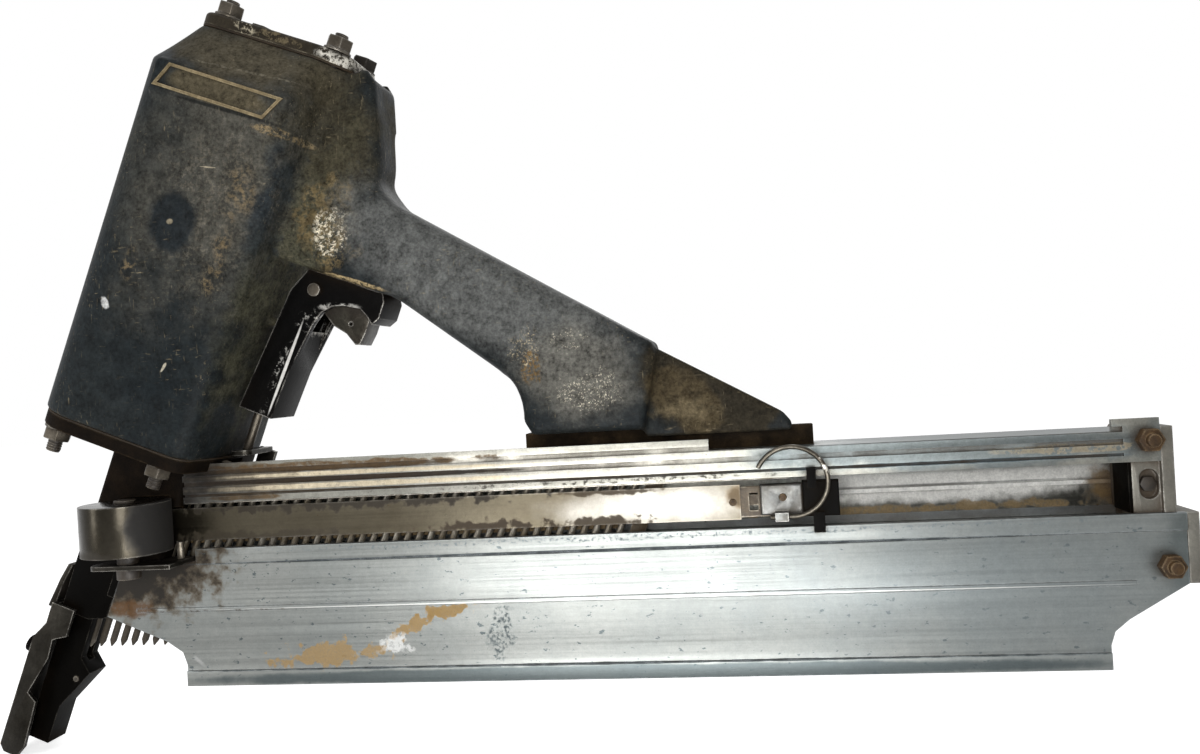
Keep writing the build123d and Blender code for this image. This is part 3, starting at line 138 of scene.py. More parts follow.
class NodeKit:
    """Small helpers that lay nodes in one tree from left to right."""

    column_width = 180
    # Places of the first input, the second input and the result of a mix node
    value_sockets = (2, 3, 0)
    colour_sockets = (6, 7, 2)

    def __init__(self, tree: NodeTree) -> None:
        """Keep the tree that the nodes go into."""
        self.tree = tree
        self.column = 0

    def add(self, kind: str, **values: object) -> bpy.types.Node:
        """Add a node and set its plain properties.

        Args:
            kind: The node's type name.
            **values: Properties to set on the node.

        Returns:
            The new node.
        """
        node = self.tree.nodes.new(kind)
        node.location = (self.column * self.column_width, 0)
        self.column += 1
        for name, value in values.items():
            setattr(node, name, value)
        return node

    def link(self, source: Socket, target: Socket) -> None:
        """Join two sockets."""
        self.tree.links.new(source, target)

    def feed(self, target: Socket, value: object) -> None:
        """Link a socket into a target, or set the target to a plain value.

        Args:
            target: The input to feed.
            value: A socket or a plain value.
        """
        if isinstance(value, Socket):
            self.link(value, target)
        else:
            target.default_value = value

    def math(self, operation: str, a: object, b: object = 0.0, clamp: bool = False) -> Socket:
        """Add a math node.

        Args:
            operation: What it does.
            a: Its first value or socket.
            b: Its second value or socket.
            clamp: Whether its result is kept between 0 and 1.

        Returns:
            Its result.
        """
        node = self.add("ShaderNodeMath", operation=operation, use_clamp=clamp)
        self.feed(node.inputs[0], a)
        self.feed(node.inputs[1], b)
        return node.outputs[0]

    def step(self, value: Socket, low: object, high: object) -> Socket:
        """Turn a value into a smooth mask between two levels.

        Args:
            value: The value.
            low: The level where the mask is 0.
            high: The level where the mask is 1.

        Returns:
            The mask.
        """
        node = self.add("ShaderNodeMapRange", interpolation_type="SMOOTHSTEP")
        self.feed(node.inputs["Value"], value)
        self.feed(node.inputs["From Min"], low)
        self.feed(node.inputs["From Max"], high)
        return node.outputs["Result"]

    def noise(self, vector: Socket, scale: object, detail: float, rough: float = 0.6) -> Socket:
        """Add a noise texture.

        Args:
            vector: The coordinates it is laid on.
            scale: How fine it is.
            detail: How many finer layers it has.
            rough: How strong the finer layers are.

        Returns:
            Its value.
        """
        node = self.add("ShaderNodeTexNoise")
        self.feed(node.inputs["Vector"], vector)
        self.feed(node.inputs["Scale"], scale)
        node.inputs["Detail"].default_value = detail
        node.inputs["Roughness"].default_value = rough
        return node.outputs["Fac"]

    def strokes(self, vector: Socket, scale: Triple, turn: float = 0.0) -> Socket:
        """Add noise drawn out into strokes.

        Args:
            vector: The coordinates it is laid on.
            scale: How fine it is along each axis.
            turn: Its turn about the tool's Y axis, in radians.

        Returns:
            Its value.
        """
        node = self.add("ShaderNodeMapping")
        self.feed(node.inputs["Vector"], vector)
        node.inputs["Scale"].default_value = scale
        node.inputs["Rotation"].default_value = (0.0, turn, 0.0)
        return self.noise(node.outputs["Vector"], 1.0, detail=3.0)

    def mix(self, factor: object, a: object, b: object) -> Socket:
        """Mix two colours by the share of the second."""
        colours = (colour if isinstance(colour, Socket) else (*colour, 1.0) for colour in (a, b))
        return self.mixed("RGBA", self.colour_sockets, factor, *colours)

    def blend(self, factor: object, a: object, b: object) -> Socket:
        """Mix two values by the share of the second."""
        return self.mixed("FLOAT", self.value_sockets, factor, a, b)

    def mixed(self, kind: str, sockets: tuple[int, int, int], factor: object, a: object, b: object) -> Socket:
        """Add a mix node.

        Args:
            kind: The type of what it mixes.
            sockets: The places of its first input, its second input and its result.
            factor: The share of the second.
            a: The first value or socket.
            b: The second value or socket.

        Returns:
            Its result.
        """
        first, second, result = sockets
        node = self.add("ShaderNodeMix", data_type=kind)
        self.feed(node.inputs["Factor"], factor)
        self.feed(node.inputs[first], a)
        self.feed(node.inputs[second], b)
        return node.outputs[result]

    def brighten(self, colour: Socket, value: Socket) -> Socket:
        """Multiply a colour's brightness.

        Args:
            colour: The colour.
            value: What its brightness is multiplied by.

        Returns:
            The brightened colour.
        """
        node = self.add("ShaderNodeHueSaturation")
        self.link(colour, node.inputs["Color"])
        self.link(value, node.inputs["Value"])
        return node.outputs["Color"]

    def group(self, tree: NodeTree, place: Socket, values: dict[str, object]) -> bpy.types.NodeOutputs:
        """Place a shared group with values of its own.

        Args:
            tree: The shared group.
            place: Object coordinates.
            values: Input values by name.

        Returns:
            The group's outputs.
        """
        node = self.add("ShaderNodeGroup", node_tree=tree)
        self.link(place, node.inputs["Vector"])
        for label, value in values.items():
            node.inputs[label].default_value = value
        return node.outputs


class Groups:
    """Shader node groups that several finishes share, each built once."""

    @staticmethod
    def start(name: str, inputs: dict[str, object], *outputs: str) -> tuple[NodeKit, dict, dict]:
        """Open a new group with named value and vector sockets.

        Args:
            name: The group's name.
            inputs: Input names with their default values.
            *outputs: Output names.
        """
        tree = bpy.data.node_groups.new(name, "ShaderNodeTree")
        tree.interface.new_socket("Vector", in_out="INPUT", socket_type="NodeSocketVector")
        for label, value in inputs.items():
            kind = "NodeSocketVector" if isinstance(value, tuple) else "NodeSocketFloat"
            tree.interface.new_socket(label, in_out="INPUT", socket_type=kind).default_value = value
        for label in outputs:
            tree.interface.new_socket(label, in_out="OUTPUT", socket_type="NodeSocketFloat")
        kit = NodeKit(tree)
        entry = kit.add("NodeGroupInput")
        leave = kit.add("NodeGroupOutput")
        get = {socket.name: socket for socket in entry.outputs if socket.name}
        put = {socket.name: socket for socket in leave.inputs if socket.name}
        return kit, get, put

    @staticmethod
    @cache
    def edge_wear() -> NodeTree:
        """Make the group that finds rubbed edges, broken up by noise.

        Returns:
            The group.
        """
        sockets = {"Radius": 0.0012, "Amount": 0.5, "Scale": 120.0}
        kit, get, put = Groups.start("edge_wear", sockets, "Mask")
        bevel = kit.add("ShaderNodeBevel", samples=4)
        kit.link(get["Radius"], bevel.inputs["Radius"])
        face = kit.add("ShaderNodeNewGeometry")
        dot = kit.add("ShaderNodeVectorMath", operation="DOT_PRODUCT")
        kit.link(bevel.outputs["Normal"], dot.inputs[0])
        kit.link(face.outputs["Normal"], dot.inputs[1])
        bend_gain = 6.0
        bend = kit.math("MULTIPLY", kit.math("SUBTRACT", 1.0, dot.outputs["Value"]), bend_gain, clamp=True)
        broken = kit.noise(get["Vector"], get["Scale"], detail=6.0, rough=0.65)
        keep = kit.math("MULTIPLY", bend, kit.step(broken, low=0.36, high=0.62))
        kit.link(kit.math("MULTIPLY", keep, get["Amount"], clamp=True), put["Mask"])
        return kit.tree

    @staticmethod
    @cache
    def chips() -> NodeTree:
        """Make the group that scatters small chips in larger patches.

        Returns:
            The group.
        """
        sockets = {"Patch Scale": 18.0, "Chip Scale": 260.0, "Cover": 0.5}
        kit, get, put = Groups.start("chips", sockets, "Mask")
        patch_share, bare_at, cover_gain, chip_edge = 0.62, 0.78, 0.36, 0.035
        patch = kit.noise(get["Vector"], get["Patch Scale"], detail=3.0, rough=0.5)
        chip = kit.noise(get["Vector"], get["Chip Scale"], detail=5.0)
        level = kit.blend(patch_share, chip, patch)
        low = kit.math("SUBTRACT", bare_at, kit.math("MULTIPLY", get["Cover"], cover_gain))
        kit.link(kit.step(level, low, kit.math("ADD", low, chip_edge)), put["Mask"])
        return kit.tree

    @staticmethod
    @cache
    def scratches() -> NodeTree:
        """Make the group that draws fine lines along the magazine, and short nicks.

        Returns:
            The group.
        """
        kit, get, put = Groups.start("scratches", {"Nicks": 0.5}, "Lines", "Marks")
        nick_at, nick_gain, nick_edge = 0.78, 0.2, 0.03
        kit.link(kit.strokes(get["Vector"], (6.0, 500.0, 900.0)), put["Lines"])
        marks = kit.strokes(get["Vector"], (250.0, 420.0, 460.0), turn=0.7)
        low = kit.math("SUBTRACT", nick_at, kit.math("MULTIPLY", get["Nicks"], nick_gain))
        kit.link(kit.step(marks, low, kit.math("ADD", low, nick_edge)), put["Marks"])
        return kit.tree

    @staticmethod
    @cache
    def scuffs() -> NodeTree:
        """Make the group that strews short fine strokes in two directions.

        Returns:
            The group.
        """
        kit, get, put = Groups.start("scuffs", {"Amount": 0.5, "Scale": 30.0}, "Mask")
        rising = kit.strokes(get["Vector"], (900.0, 900.0, 140.0), turn=0.6)
        level = kit.strokes(get["Vector"], (160.0, 900.0, 900.0), turn=-0.35)
        strokes = kit.step(kit.math("MAXIMUM", rising, level), low=0.62, high=0.74)
        where = kit.step(kit.noise(get["Vector"], get["Scale"], detail=4.0), low=0.38, high=0.64)
        both = kit.math("MULTIPLY", strokes, where)
        kit.link(kit.math("MULTIPLY", both, get["Amount"], clamp=True), put["Mask"])
        return kit.tree

    @staticmethod
    @cache
    def grime() -> NodeTree:
        """Make the group that gathers dirt in corners and in soft clouds.

        Returns:
            The group.
        """
        kit, get, put = Groups.start("grime", {"Reach": 0.012, "Amount": 0.6, "Scale": 40.0}, "Mask")
        corner = kit.add("ShaderNodeAmbientOcclusion", samples=6)
        kit.link(get["Reach"], corner.inputs["Distance"])
        shut = kit.step(kit.math("SUBTRACT", 1.0, corner.outputs["AO"]), low=0.05, high=0.6)
        cloud = kit.step(kit.noise(get["Vector"], get["Scale"], detail=6.0, rough=0.62), low=0.3, high=0.62)
        mixed = kit.math("MULTIPLY", shut, cloud)
        kit.link(kit.math("MULTIPLY", mixed, get["Amount"], clamp=True), put["Mask"])
        return kit.tree

    @staticmethod
    @cache
    def patch() -> NodeTree:
        """Make the group that marks one ragged oval place, whole or as specks.

        Returns:
            The group.
        """
        sockets = {"Centre": (0.0, 0.0, 0.0), "Size": (1.0, 1.0, 1.0), "Turn": (0.0, 0.0, 0.0)}
        sockets |= {"Ragged": 0.3, "Grain": 60.0, "Speckle": 0.0, "Strength": 1.0, "Soft": 0.3}
        kit, get, put = Groups.start("patch", sockets, "Mask")
        torn_gain, fine_gain, speck_at, speck_gain, speck_edge, speck_onset = 4.0, 4.0, 0.36, 0.3, 0.09, 5.0
        local = kit.add("ShaderNodeMapping", vector_type="TEXTURE")
        inputs = {"Vector": "Vector", "Location": "Centre", "Rotation": "Turn", "Scale": "Size"}
        for label, source in inputs.items():
            kit.link(get[source], local.inputs[label])
        reach = kit.add("ShaderNodeVectorMath", operation="LENGTH")
        kit.link(local.outputs["Vector"], reach.inputs[0])
        torn = kit.math("SUBTRACT", kit.noise(get["Vector"], get["Grain"], detail=5.0), 0.5)
        torn = kit.math("MULTIPLY", torn, kit.math("MULTIPLY", get["Ragged"], torn_gain))
        inner = kit.math("SUBTRACT", 1.0, get["Soft"])
        inside = kit.step(kit.math("ADD", reach.outputs["Value"], torn), 1.0, inner)
        fine_scale = kit.math("MULTIPLY", get["Grain"], fine_gain)
        fine = kit.noise(get["Vector"], fine_scale, detail=6.0, rough=0.72)
        low = kit.math("ADD", speck_at, kit.math("MULTIPLY", get["Speckle"], speck_gain))
        specks = kit.step(fine, low, kit.math("ADD", low, speck_edge))
        specks = kit.blend(kit.math("MULTIPLY", get["Speckle"], speck_onset, clamp=True), 1.0, specks)
        mask = kit.math("MULTIPLY", kit.math("MULTIPLY", inside, specks), get["Strength"], clamp=True)
        kit.link(mask, put["Mask"])
        return kit.tree


class Metal(Enum):
    """Whether a surface conducts."""

    BARE = 1.0
    OXIDISED = 0.65
    COATED = 0.0


@dataclass(frozen=True)
class Mark:
    """One stain, smear, chipped place, bare place, painted highlight or painted shadow, in millimetres on the
    tool's side.
    """

    colour: Colour
    centre: Pair
    half: Pair
    turn: float = 0.0
    ragged: float = 0.35
    grain: float = 60.0
    speckle: float = 0.0
    strength: float = 1.0
    metal: Metal = Metal.COATED
    rough: float = 0.8
    soft: float = 0.3
    depth: Pair = EVERYWHERE

    def mask(self, kit: NodeKit, place: Socket) -> Socket:
        """Lay out where the mark lies.

        Args:
            place: Object coordinates.

        Returns:
            The mark's mask.
        """
        values = {
            "Centre": (self.centre[0] * MM, self.depth[0] * MM, self.centre[1] * MM),
            "Size": (self.half[0] * MM, self.depth[1] * MM, self.half[1] * MM),
            "Turn": (0.0, math.radians(self.turn), 0.0),
            "Ragged": self.ragged,
            "Grain": self.grain,
            "Speckle": self.speckle,
            "Strength": self.strength,
            "Soft": self.soft,
        }
        return kit.group(Groups.patch(), place, values)["Mask"]


@dataclass
class Surface:
    """What a material's nodes hold so far."""

    colour: Socket
    metal: object
    rough: object

    def lay(self, kit: NodeKit, mask: Socket, colour: Colour, metal: Metal, rough: float) -> None:
        """Lay something over the surface where a mask says.

        Args:
            mask: Where it lies.
            colour: Its colour.
            metal: Whether it conducts.
            rough: Its roughness.
        """
        self.colour = kit.mix(mask, self.colour, colour)
        self.metal = kit.blend(mask, self.metal, metal.value)
        self.rough = kit.blend(mask, self.rough, rough)


@dataclass(frozen=True)
class Finish:
    """One finish: a base coat with marks, wear, chips, scratches and grime over it."""

    name: str
    base: Colour
    shade: Colour
    metal: Metal = Metal.COATED
    rough: float = 0.5
    rough_spread: float = 0.15
    gloss: float = 0.3
    cloud_scale: float = 22.0
    mottle: float = 0.15
    mottle_scale: float = 300.0
    marks: tuple[Mark, ...] = ()
    worn: Colour = (0.35, 0.35, 0.35)
    worn_metal: Metal = Metal.BARE
    worn_rough: float = 0.42
    edge: float = 0.5
    edge_radius: float = 0.0012
    edge_scale: float = 120.0
    chip_cover: float = 0.0
    chip_patch: float = 18.0
    chip_scale: float = 260.0
    scuff: float = 0.0
    dirt: Colour = (0.09, 0.055, 0.028)
    dirt_amount: float = 0.5
    dirt_reach: float = 0.012
    dirt_scale: float = 40.0
    dirt_rough: float = 0.85
    drawn: float = 0.0
    drawn_contrast: float = 0.6
    nicks: float = 0.4
    nick: Colour = (0.06, 0.06, 0.06)
    nick_strength: float = 0.8
    pit: float = 0.0
    pit_least: float = 0.12
    pit_depth: float = 0.0004
    pit_scale: float = 420.0

    def material(self) -> bpy.types.Material:
        """Build the finish once and give it back afterwards.

        Returns:
            The material.
        """
        found = bpy.data.materials.get(self.name)
        if found:
            return found
        material = bpy.data.materials.new(self.name)
        material.use_nodes = True
        kit = NodeKit(material.node_tree)
        shader = material.node_tree.nodes["Principled BSDF"]
        shader.inputs["Specular IOR Level"].default_value = self.gloss
        place = kit.add("ShaderNodeTexCoord").outputs["Object"]
        surface = self.coat(kit, place)
        for mark in self.marks:
            surface.lay(kit, mark.mask(kit, place), mark.colour, mark.metal, mark.rough)
        self.wear(kit, place, surface)
        self.soil(kit, place, surface)
        kit.link(self.grained(kit, place, surface.colour), shader.inputs["Base Color"])
        kit.feed(shader.inputs["Metallic"], surface.metal)
        kit.link(surface.rough, shader.inputs["Roughness"])
        kit.link(self.relief(kit, place), shader.inputs["Normal"])
        return material

    def coat(self, kit: NodeKit, place: Socket) -> Surface:
        """Lay the base coat in soft clouds, with drawn lines where the metal was drawn.

        Args:
            place: Object coordinates.

        Returns:
            The surface with its base coat.
        """
        cloud = kit.noise(place, self.cloud_scale, detail=5.0)
        colour = kit.mix(kit.step(cloud, low=0.3, high=0.7), self.base, self.shade)
        spread = kit.math("MULTIPLY", kit.math("SUBTRACT", cloud, 0.5), self.rough_spread * 2.0)
        rough = kit.math("ADD", spread, self.rough, clamp=True)
        if self.drawn > 0.0:
            lines = kit.group(Groups.scratches(), place, {"Nicks": self.nicks})
            contrast = self.drawn_contrast * self.drawn
            drawn = kit.math("MULTIPLY", kit.math("SUBTRACT", lines["Lines"], 0.5), contrast)
            colour = kit.brighten(colour, kit.math("ADD", drawn, 1.0))
            rough = kit.math("ADD", rough, drawn, clamp=True)
            colour = kit.mix(kit.math("MULTIPLY", lines["Marks"], self.nick_strength), colour, self.nick)
        return Surface(colour, self.metal.value, rough)

    def wear(self, kit: NodeKit, place: Socket, surface: Surface) -> None:
        """Rub the edges and chip the patches down to what is under the coat.

        Args:
            place: Object coordinates.
            surface: The surface so far, which is changed.
        """
        values = {"Radius": self.edge_radius, "Amount": self.edge, "Scale": self.edge_scale}
        bare = kit.group(Groups.edge_wear(), place, values)["Mask"]
        if self.chip_cover > 0.0:
            values = {"Patch Scale": self.chip_patch, "Chip Scale": self.chip_scale, "Cover": self.chip_cover}
            bare = kit.math("MAXIMUM", bare, kit.group(Groups.chips(), place, values)["Mask"])
        if self.scuff > 0.0:
            strokes = kit.group(Groups.scuffs(), place, {"Amount": self.scuff})["Mask"]
            bare = kit.math("MAXIMUM", bare, strokes)
        surface.lay(kit, bare, self.worn, self.worn_metal, self.worn_rough)

    def soil(self, kit: NodeKit, place: Socket, surface: Surface) -> None:
        """Lay dirt in the corners.

        Args:
            place: Object coordinates.
            surface: The surface so far, which is changed.
        """
        values = {"Reach": self.dirt_reach, "Amount": self.dirt_amount, "Scale": self.dirt_scale}
        dirt = kit.group(Groups.grime(), place, values)["Mask"]
        surface.lay(kit, dirt, self.dirt, Metal.COATED, self.dirt_rough)

    def grained(self, kit: NodeKit, place: Socket, colour: Socket) -> Socket:
        """Vary the brightness in small patches and in finer grain.

        Args:
            place: Object coordinates.
            colour: The finished colour.

        Returns:
            The grained colour.
        """
        finer, fine_share, contrast = 4.0, 0.4, 4.0
        patches = kit.math("SUBTRACT", kit.noise(place, self.mottle_scale, detail=5.0, rough=0.7), 0.5)
        fine = kit.math("SUBTRACT", kit.noise(place, self.mottle_scale * finer, detail=2.0), 0.5)
        both = kit.math("ADD", patches, kit.math("MULTIPLY", fine, fine_share))
        return kit.brighten(colour, kit.math("ADD", kit.math("MULTIPLY", both, self.mottle * contrast), 1.0))

    def relief(self, kit: NodeKit, place: Socket) -> Socket:
        """Give the surface its fine unevenness.

        Args:
            place: Object coordinates.

        Returns:
            The bumped normal.
        """
        bump = kit.add("ShaderNodeBump")
        bump.inputs["Strength"].default_value = self.pit_least + self.pit
        bump.inputs["Distance"].default_value = self.pit_depth
        kit.link(kit.noise(place, self.pit_scale, detail=3.0), bump.inputs["Height"])
        return bump.outputs["Normal"]


# Worn paint of the cast housing: dust on the upper body, grime on its flank, rubbed and chipped places, a
# painted highlight along the rear ridge and a painted shadow under the head's band
DUST = tone(80, 78, 71)
TAN = tone(124, 106, 76)
OLIVE = tone(84, 82, 66)
BARE_SPECK = tone(226, 217, 194)
BODY_MARKS = (
    Mark(DUST, (-96, 54), (66, 96), turn=LEAN_DEGREES, grain=40, strength=0.8, rough=0.85, soft=0.9),
    Mark(
        tone(108, 102, 90), (-96, 44), (40, 66), turn=LEAN_DEGREES, ragged=0.5, grain=130, speckle=0.45,
        strength=0.55, soft=0.8,
    ),
    Mark(
        TAN, (-98, 18), (7, 24), turn=LEAN_DEGREES, ragged=0.7, grain=90, speckle=0.4, strength=0.6,
        soft=0.8,
    ),
    Mark(
        TAN, (-86, 46), (10, 16), turn=LEAN_DEGREES, ragged=0.7, grain=90, speckle=0.4, strength=0.55,
        soft=0.8,
    ),
    Mark(
        TAN, (-141, 19), (5, 12), turn=LEAN_DEGREES, ragged=0.7, grain=90, speckle=0.45, strength=0.5,
        soft=0.8,
    ),
    Mark(
        tone(84, 78, 64), (-78, 107), (50, 18), turn=LEAN_DEGREES, ragged=0.4, grain=45, strength=0.85,
        soft=0.6,
    ),
    Mark(
        tone(82, 75, 59), (-93.7, 92.1), (31, 7.5), turn=LEAN_DEGREES, ragged=0.2, grain=90, strength=0.9,
        depth=BAND_SIDE,
    ),
    Mark(OLIVE, (-75, 3), (18, 105), turn=LEAN_DEGREES, ragged=0.4, speckle=0.1, strength=0.85, soft=0.5),
    Mark(
        tone(44, 45, 40), (-72, 12), (18, 105), turn=LEAN_DEGREES, ragged=0.5, grain=150, speckle=0.5,
        strength=0.6, soft=0.5,
    ),
    Mark(tone(68, 63, 49), (-45, 70), (26, 56), ragged=0.5, speckle=0.1, strength=0.75, soft=0.7),
    # A cleaner, bluer band along the rear ridge: partly cleaner paint, partly a painted highlight on the
    # turning edge.
    Mark(
        tone(34, 43, 50), (-76, 39), (6, 40), turn=LEAN_DEGREES, ragged=0.6, strength=0.75, rough=0.5,
        soft=0.7,
    ),
    # A thin dark line under the lower step of the head's band: painted shadow.
    Mark(tone(24, 26, 26), (-90, 83), (38, 1.3), turn=20.3, ragged=0.15, strength=0.8, soft=0.6),
    Mark(
        tone(112, 106, 92), (-84.4, 102.2), (36, 0.7), turn=16.5, ragged=0.4, grain=110, speckle=0.3,
        strength=0.7,
    ),
    Mark(
        tone(132, 116, 88), (-68, 71.5), (15, 2.3), turn=19.0, ragged=0.5, grain=110, speckle=0.3,
        strength=0.9,
    ),
    Mark(tone(120, 104, 72), (-54, 30), (18, 26), ragged=0.5, grain=100, speckle=0.3, strength=0.75),
    Mark(BARE_SPECK, (-52, 27), (11, 13), ragged=0.4, grain=190, speckle=0.45, strength=0.95, rough=0.5),
    Mark(tone(40, 34, 22), (-64, 2), (14, 12), ragged=0.5, strength=0.75),
    Mark(tone(93, 94, 92), (18, 2), (92, 36), turn=31.6, ragged=0.15, strength=0.92, rough=0.6, soft=0.4),
    Mark(tone(62, 65, 66), (16, 3), (82, 27), turn=31.6, ragged=0.3, grain=200, speckle=0.5, strength=0.3),
    Mark(
        tone(104, 102, 95), (62, -46), (36, 28), turn=20.0, ragged=0.25, strength=0.8, rough=0.7, soft=0.6,
    ),
    Mark(
        tone(170, 150, 112), (-44, 3.4), (22, 1.6), turn=18.7, ragged=0.4, grain=110, speckle=0.2,
        strength=0.95, rough=0.5,
    ),
    Mark(
        tone(196, 180, 146), (38.7, -33), (9, 10), ragged=0.4, grain=220, speckle=0.6, strength=0.95,
        rough=0.5,
    ),
    Mark(tone(120, 96, 60), (40.5, -43), (6, 9), ragged=0.5, grain=150, speckle=0.35, strength=0.9),
    Mark(BARE_SPECK, (58.4, -31), (9, 8), ragged=0.4, grain=220, speckle=0.65, strength=0.95, rough=0.5),
    Mark(BARE_SPECK, (68, -55), (17, 11), ragged=0.5, grain=330, speckle=0.62, strength=0.95, rough=0.5),
    Mark(tone(48, 43, 33), (122, -60), (42, 24), turn=30.0, ragged=0.3, grain=50, strength=0.9),
    Mark(
        tone(82, 71, 51), (110, -62), (21, 14), turn=30.0, ragged=0.4, grain=70, speckle=0.1,
        strength=0.65,
    ),
    Mark(tone(118, 106, 82), (111, -67), (17, 7.0), ragged=0.6, grain=160, strength=0.55, soft=0.8),
    Mark(
        tone(25, 31, 35), (-120.3, 34.2), (15.5, 17.0), turn=LEAN_DEGREES, ragged=0.12, strength=0.9,
        rough=0.45, depth=NEAR,
    ),
    Mark(tone(150, 140, 118), (-121, 34.5), (2.0, 1.6), ragged=0.2, grain=200, strength=0.9, depth=NEAR),
    Mark(tone(200, 200, 198), (-155.6, -1.0), (2.2, 3.8), turn=-25.0, ragged=0.25, grain=200, depth=NEAR),
    Mark(
        tone(185, 178, 160), (-128.5, -33), (0.9, 3.0), turn=35.0, ragged=0.3, grain=200, strength=0.95,
        depth=NEAR,
    ),
    Mark(
        tone(150, 140, 120), (-101, 58), (6.0, 0.4), turn=10.0, ragged=0.3, grain=150, strength=0.9,
        depth=NEAR,
    ),
)
PAINT = Finish(
    "worn_body_paint", tone(20, 26, 29), tone(32, 36, 37), rough=0.5, rough_spread=0.2, gloss=0.06,
    mottle=0.65, mottle_scale=180.0, chip_cover=0.2, chip_patch=14.0, chip_scale=240.0, marks=BODY_MARKS,
    worn=tone(150, 136, 108), worn_metal=Metal.COATED, edge=0.45, edge_radius=0.0016, scuff=0.5,
    dirt=tone(40, 34, 24), dirt_amount=0.8, dirt_reach=0.014, pit=0.4,
)
PANEL = Finish(
    "tan_panel_frame", tone(146, 131, 102), tone(112, 99, 74), rough=0.75, gloss=0.06, cloud_scale=90.0,
    mottle=0.35, worn=tone(178, 164, 132), worn_metal=Metal.COATED, edge=0.7, dirt=tone(40, 34, 24),
    dirt_amount=0.9, dirt_reach=0.002,
)

# Drawn aluminium of the magazine, with the stains and scrapes of long use, painted highlights on the rail and
# in the window, and painted shadows at the rail's left end, in the window and under the bead
RAIL_MARKS = (
    Mark(tone(104, 88, 64), (-95, -88), (66, 11), ragged=0.5, grain=40, strength=0.6, soft=0.8),
    # A lighter, shinier middle of the rail: painted highlight.
    Mark(
        tone(166, 163, 154), (30, -90), (100, 11), ragged=0.3, grain=40, strength=0.8, metal=Metal.BARE,
        rough=0.36, soft=0.8,
    ),
    Mark(
        tone(80, 86, 87), (240, -90), (125, 13), ragged=0.3, grain=40, strength=0.9, metal=Metal.BARE,
        rough=0.42, soft=0.5,
    ),
    Mark(tone(72, 58, 40), (-75, -84.6), (85, 1.2), ragged=0.12, strength=0.75),
    Mark(tone(52, 46, 38), (80, -95.5), (240, 0.7), ragged=0.12, strength=0.85),
    Mark(
        tone(182, 170, 146), (-50, -87.3), (95, 1.1), ragged=0.3, speckle=0.1, strength=0.85,
        metal=Metal.BARE, rough=0.35,
    ),
    Mark(
        tone(182, 170, 146), (-50, -93.1), (95, 1.4), ragged=0.3, speckle=0.1, strength=0.85,
        metal=Metal.BARE, rough=0.35,
    ),
    Mark(tone(92, 70, 40), (-58, -83.6), (78, 2.4), ragged=0.7, grain=70, speckle=0.1, strength=0.9),
    Mark(tone(30, 22, 14), (-52, -90.0), (97, 1.5), ragged=0.15, grain=70, strength=0.97),
    Mark(tone(96, 76, 48), (-110, -97.2), (22, 1.8), ragged=0.5, grain=80, speckle=0.1, strength=0.9),
    # Near black over the rail's left end: painted shadow of the neck over dirt.
    Mark(tone(20, 14, 9), (-150, -91), (74, 26), ragged=0.25, grain=90, strength=0.97, soft=0.8),
    Mark(tone(66, 62, 54), (60, -97.0), (110, 1.6), ragged=0.7, grain=120, speckle=0.45, strength=0.85),
    Mark(tone(70, 84, 90), (220, -95.6), (104, 1.0), ragged=0.4, speckle=0.1, strength=0.85),
    # The window's far wall: painted near white as painted light, with a painted shadow under the rail along
    # its top and a darker line across it.
    Mark(tone(240, 239, 234), (235, -106), (112, 15.5), ragged=0.2, strength=0.95, depth=INNER),
    Mark(tone(72, 74, 72), (235, -100.5), (116, 4.6), ragged=0.15, strength=0.8, soft=0.6, depth=INNER),
    Mark(tone(96, 98, 96), (235, -108.6), (116, 0.9), ragged=0.15, strength=0.8, soft=0.6, depth=INNER),
    Mark(
        tone(150, 126, 86), (240, -119.6), (94, 3.0), ragged=0.8, grain=90, speckle=0.1, strength=0.75,
        depth=INNER,
    ),
    Mark(tone(118, 94, 58), (299, -112), (14, 13), ragged=0.4, strength=0.9, depth=INNER),
    Mark(tone(140, 128, 104), (285, -92), (34, 2.2), ragged=0.5, speckle=0.2, strength=0.6),
)
OCHRE = tone(156, 127, 76)
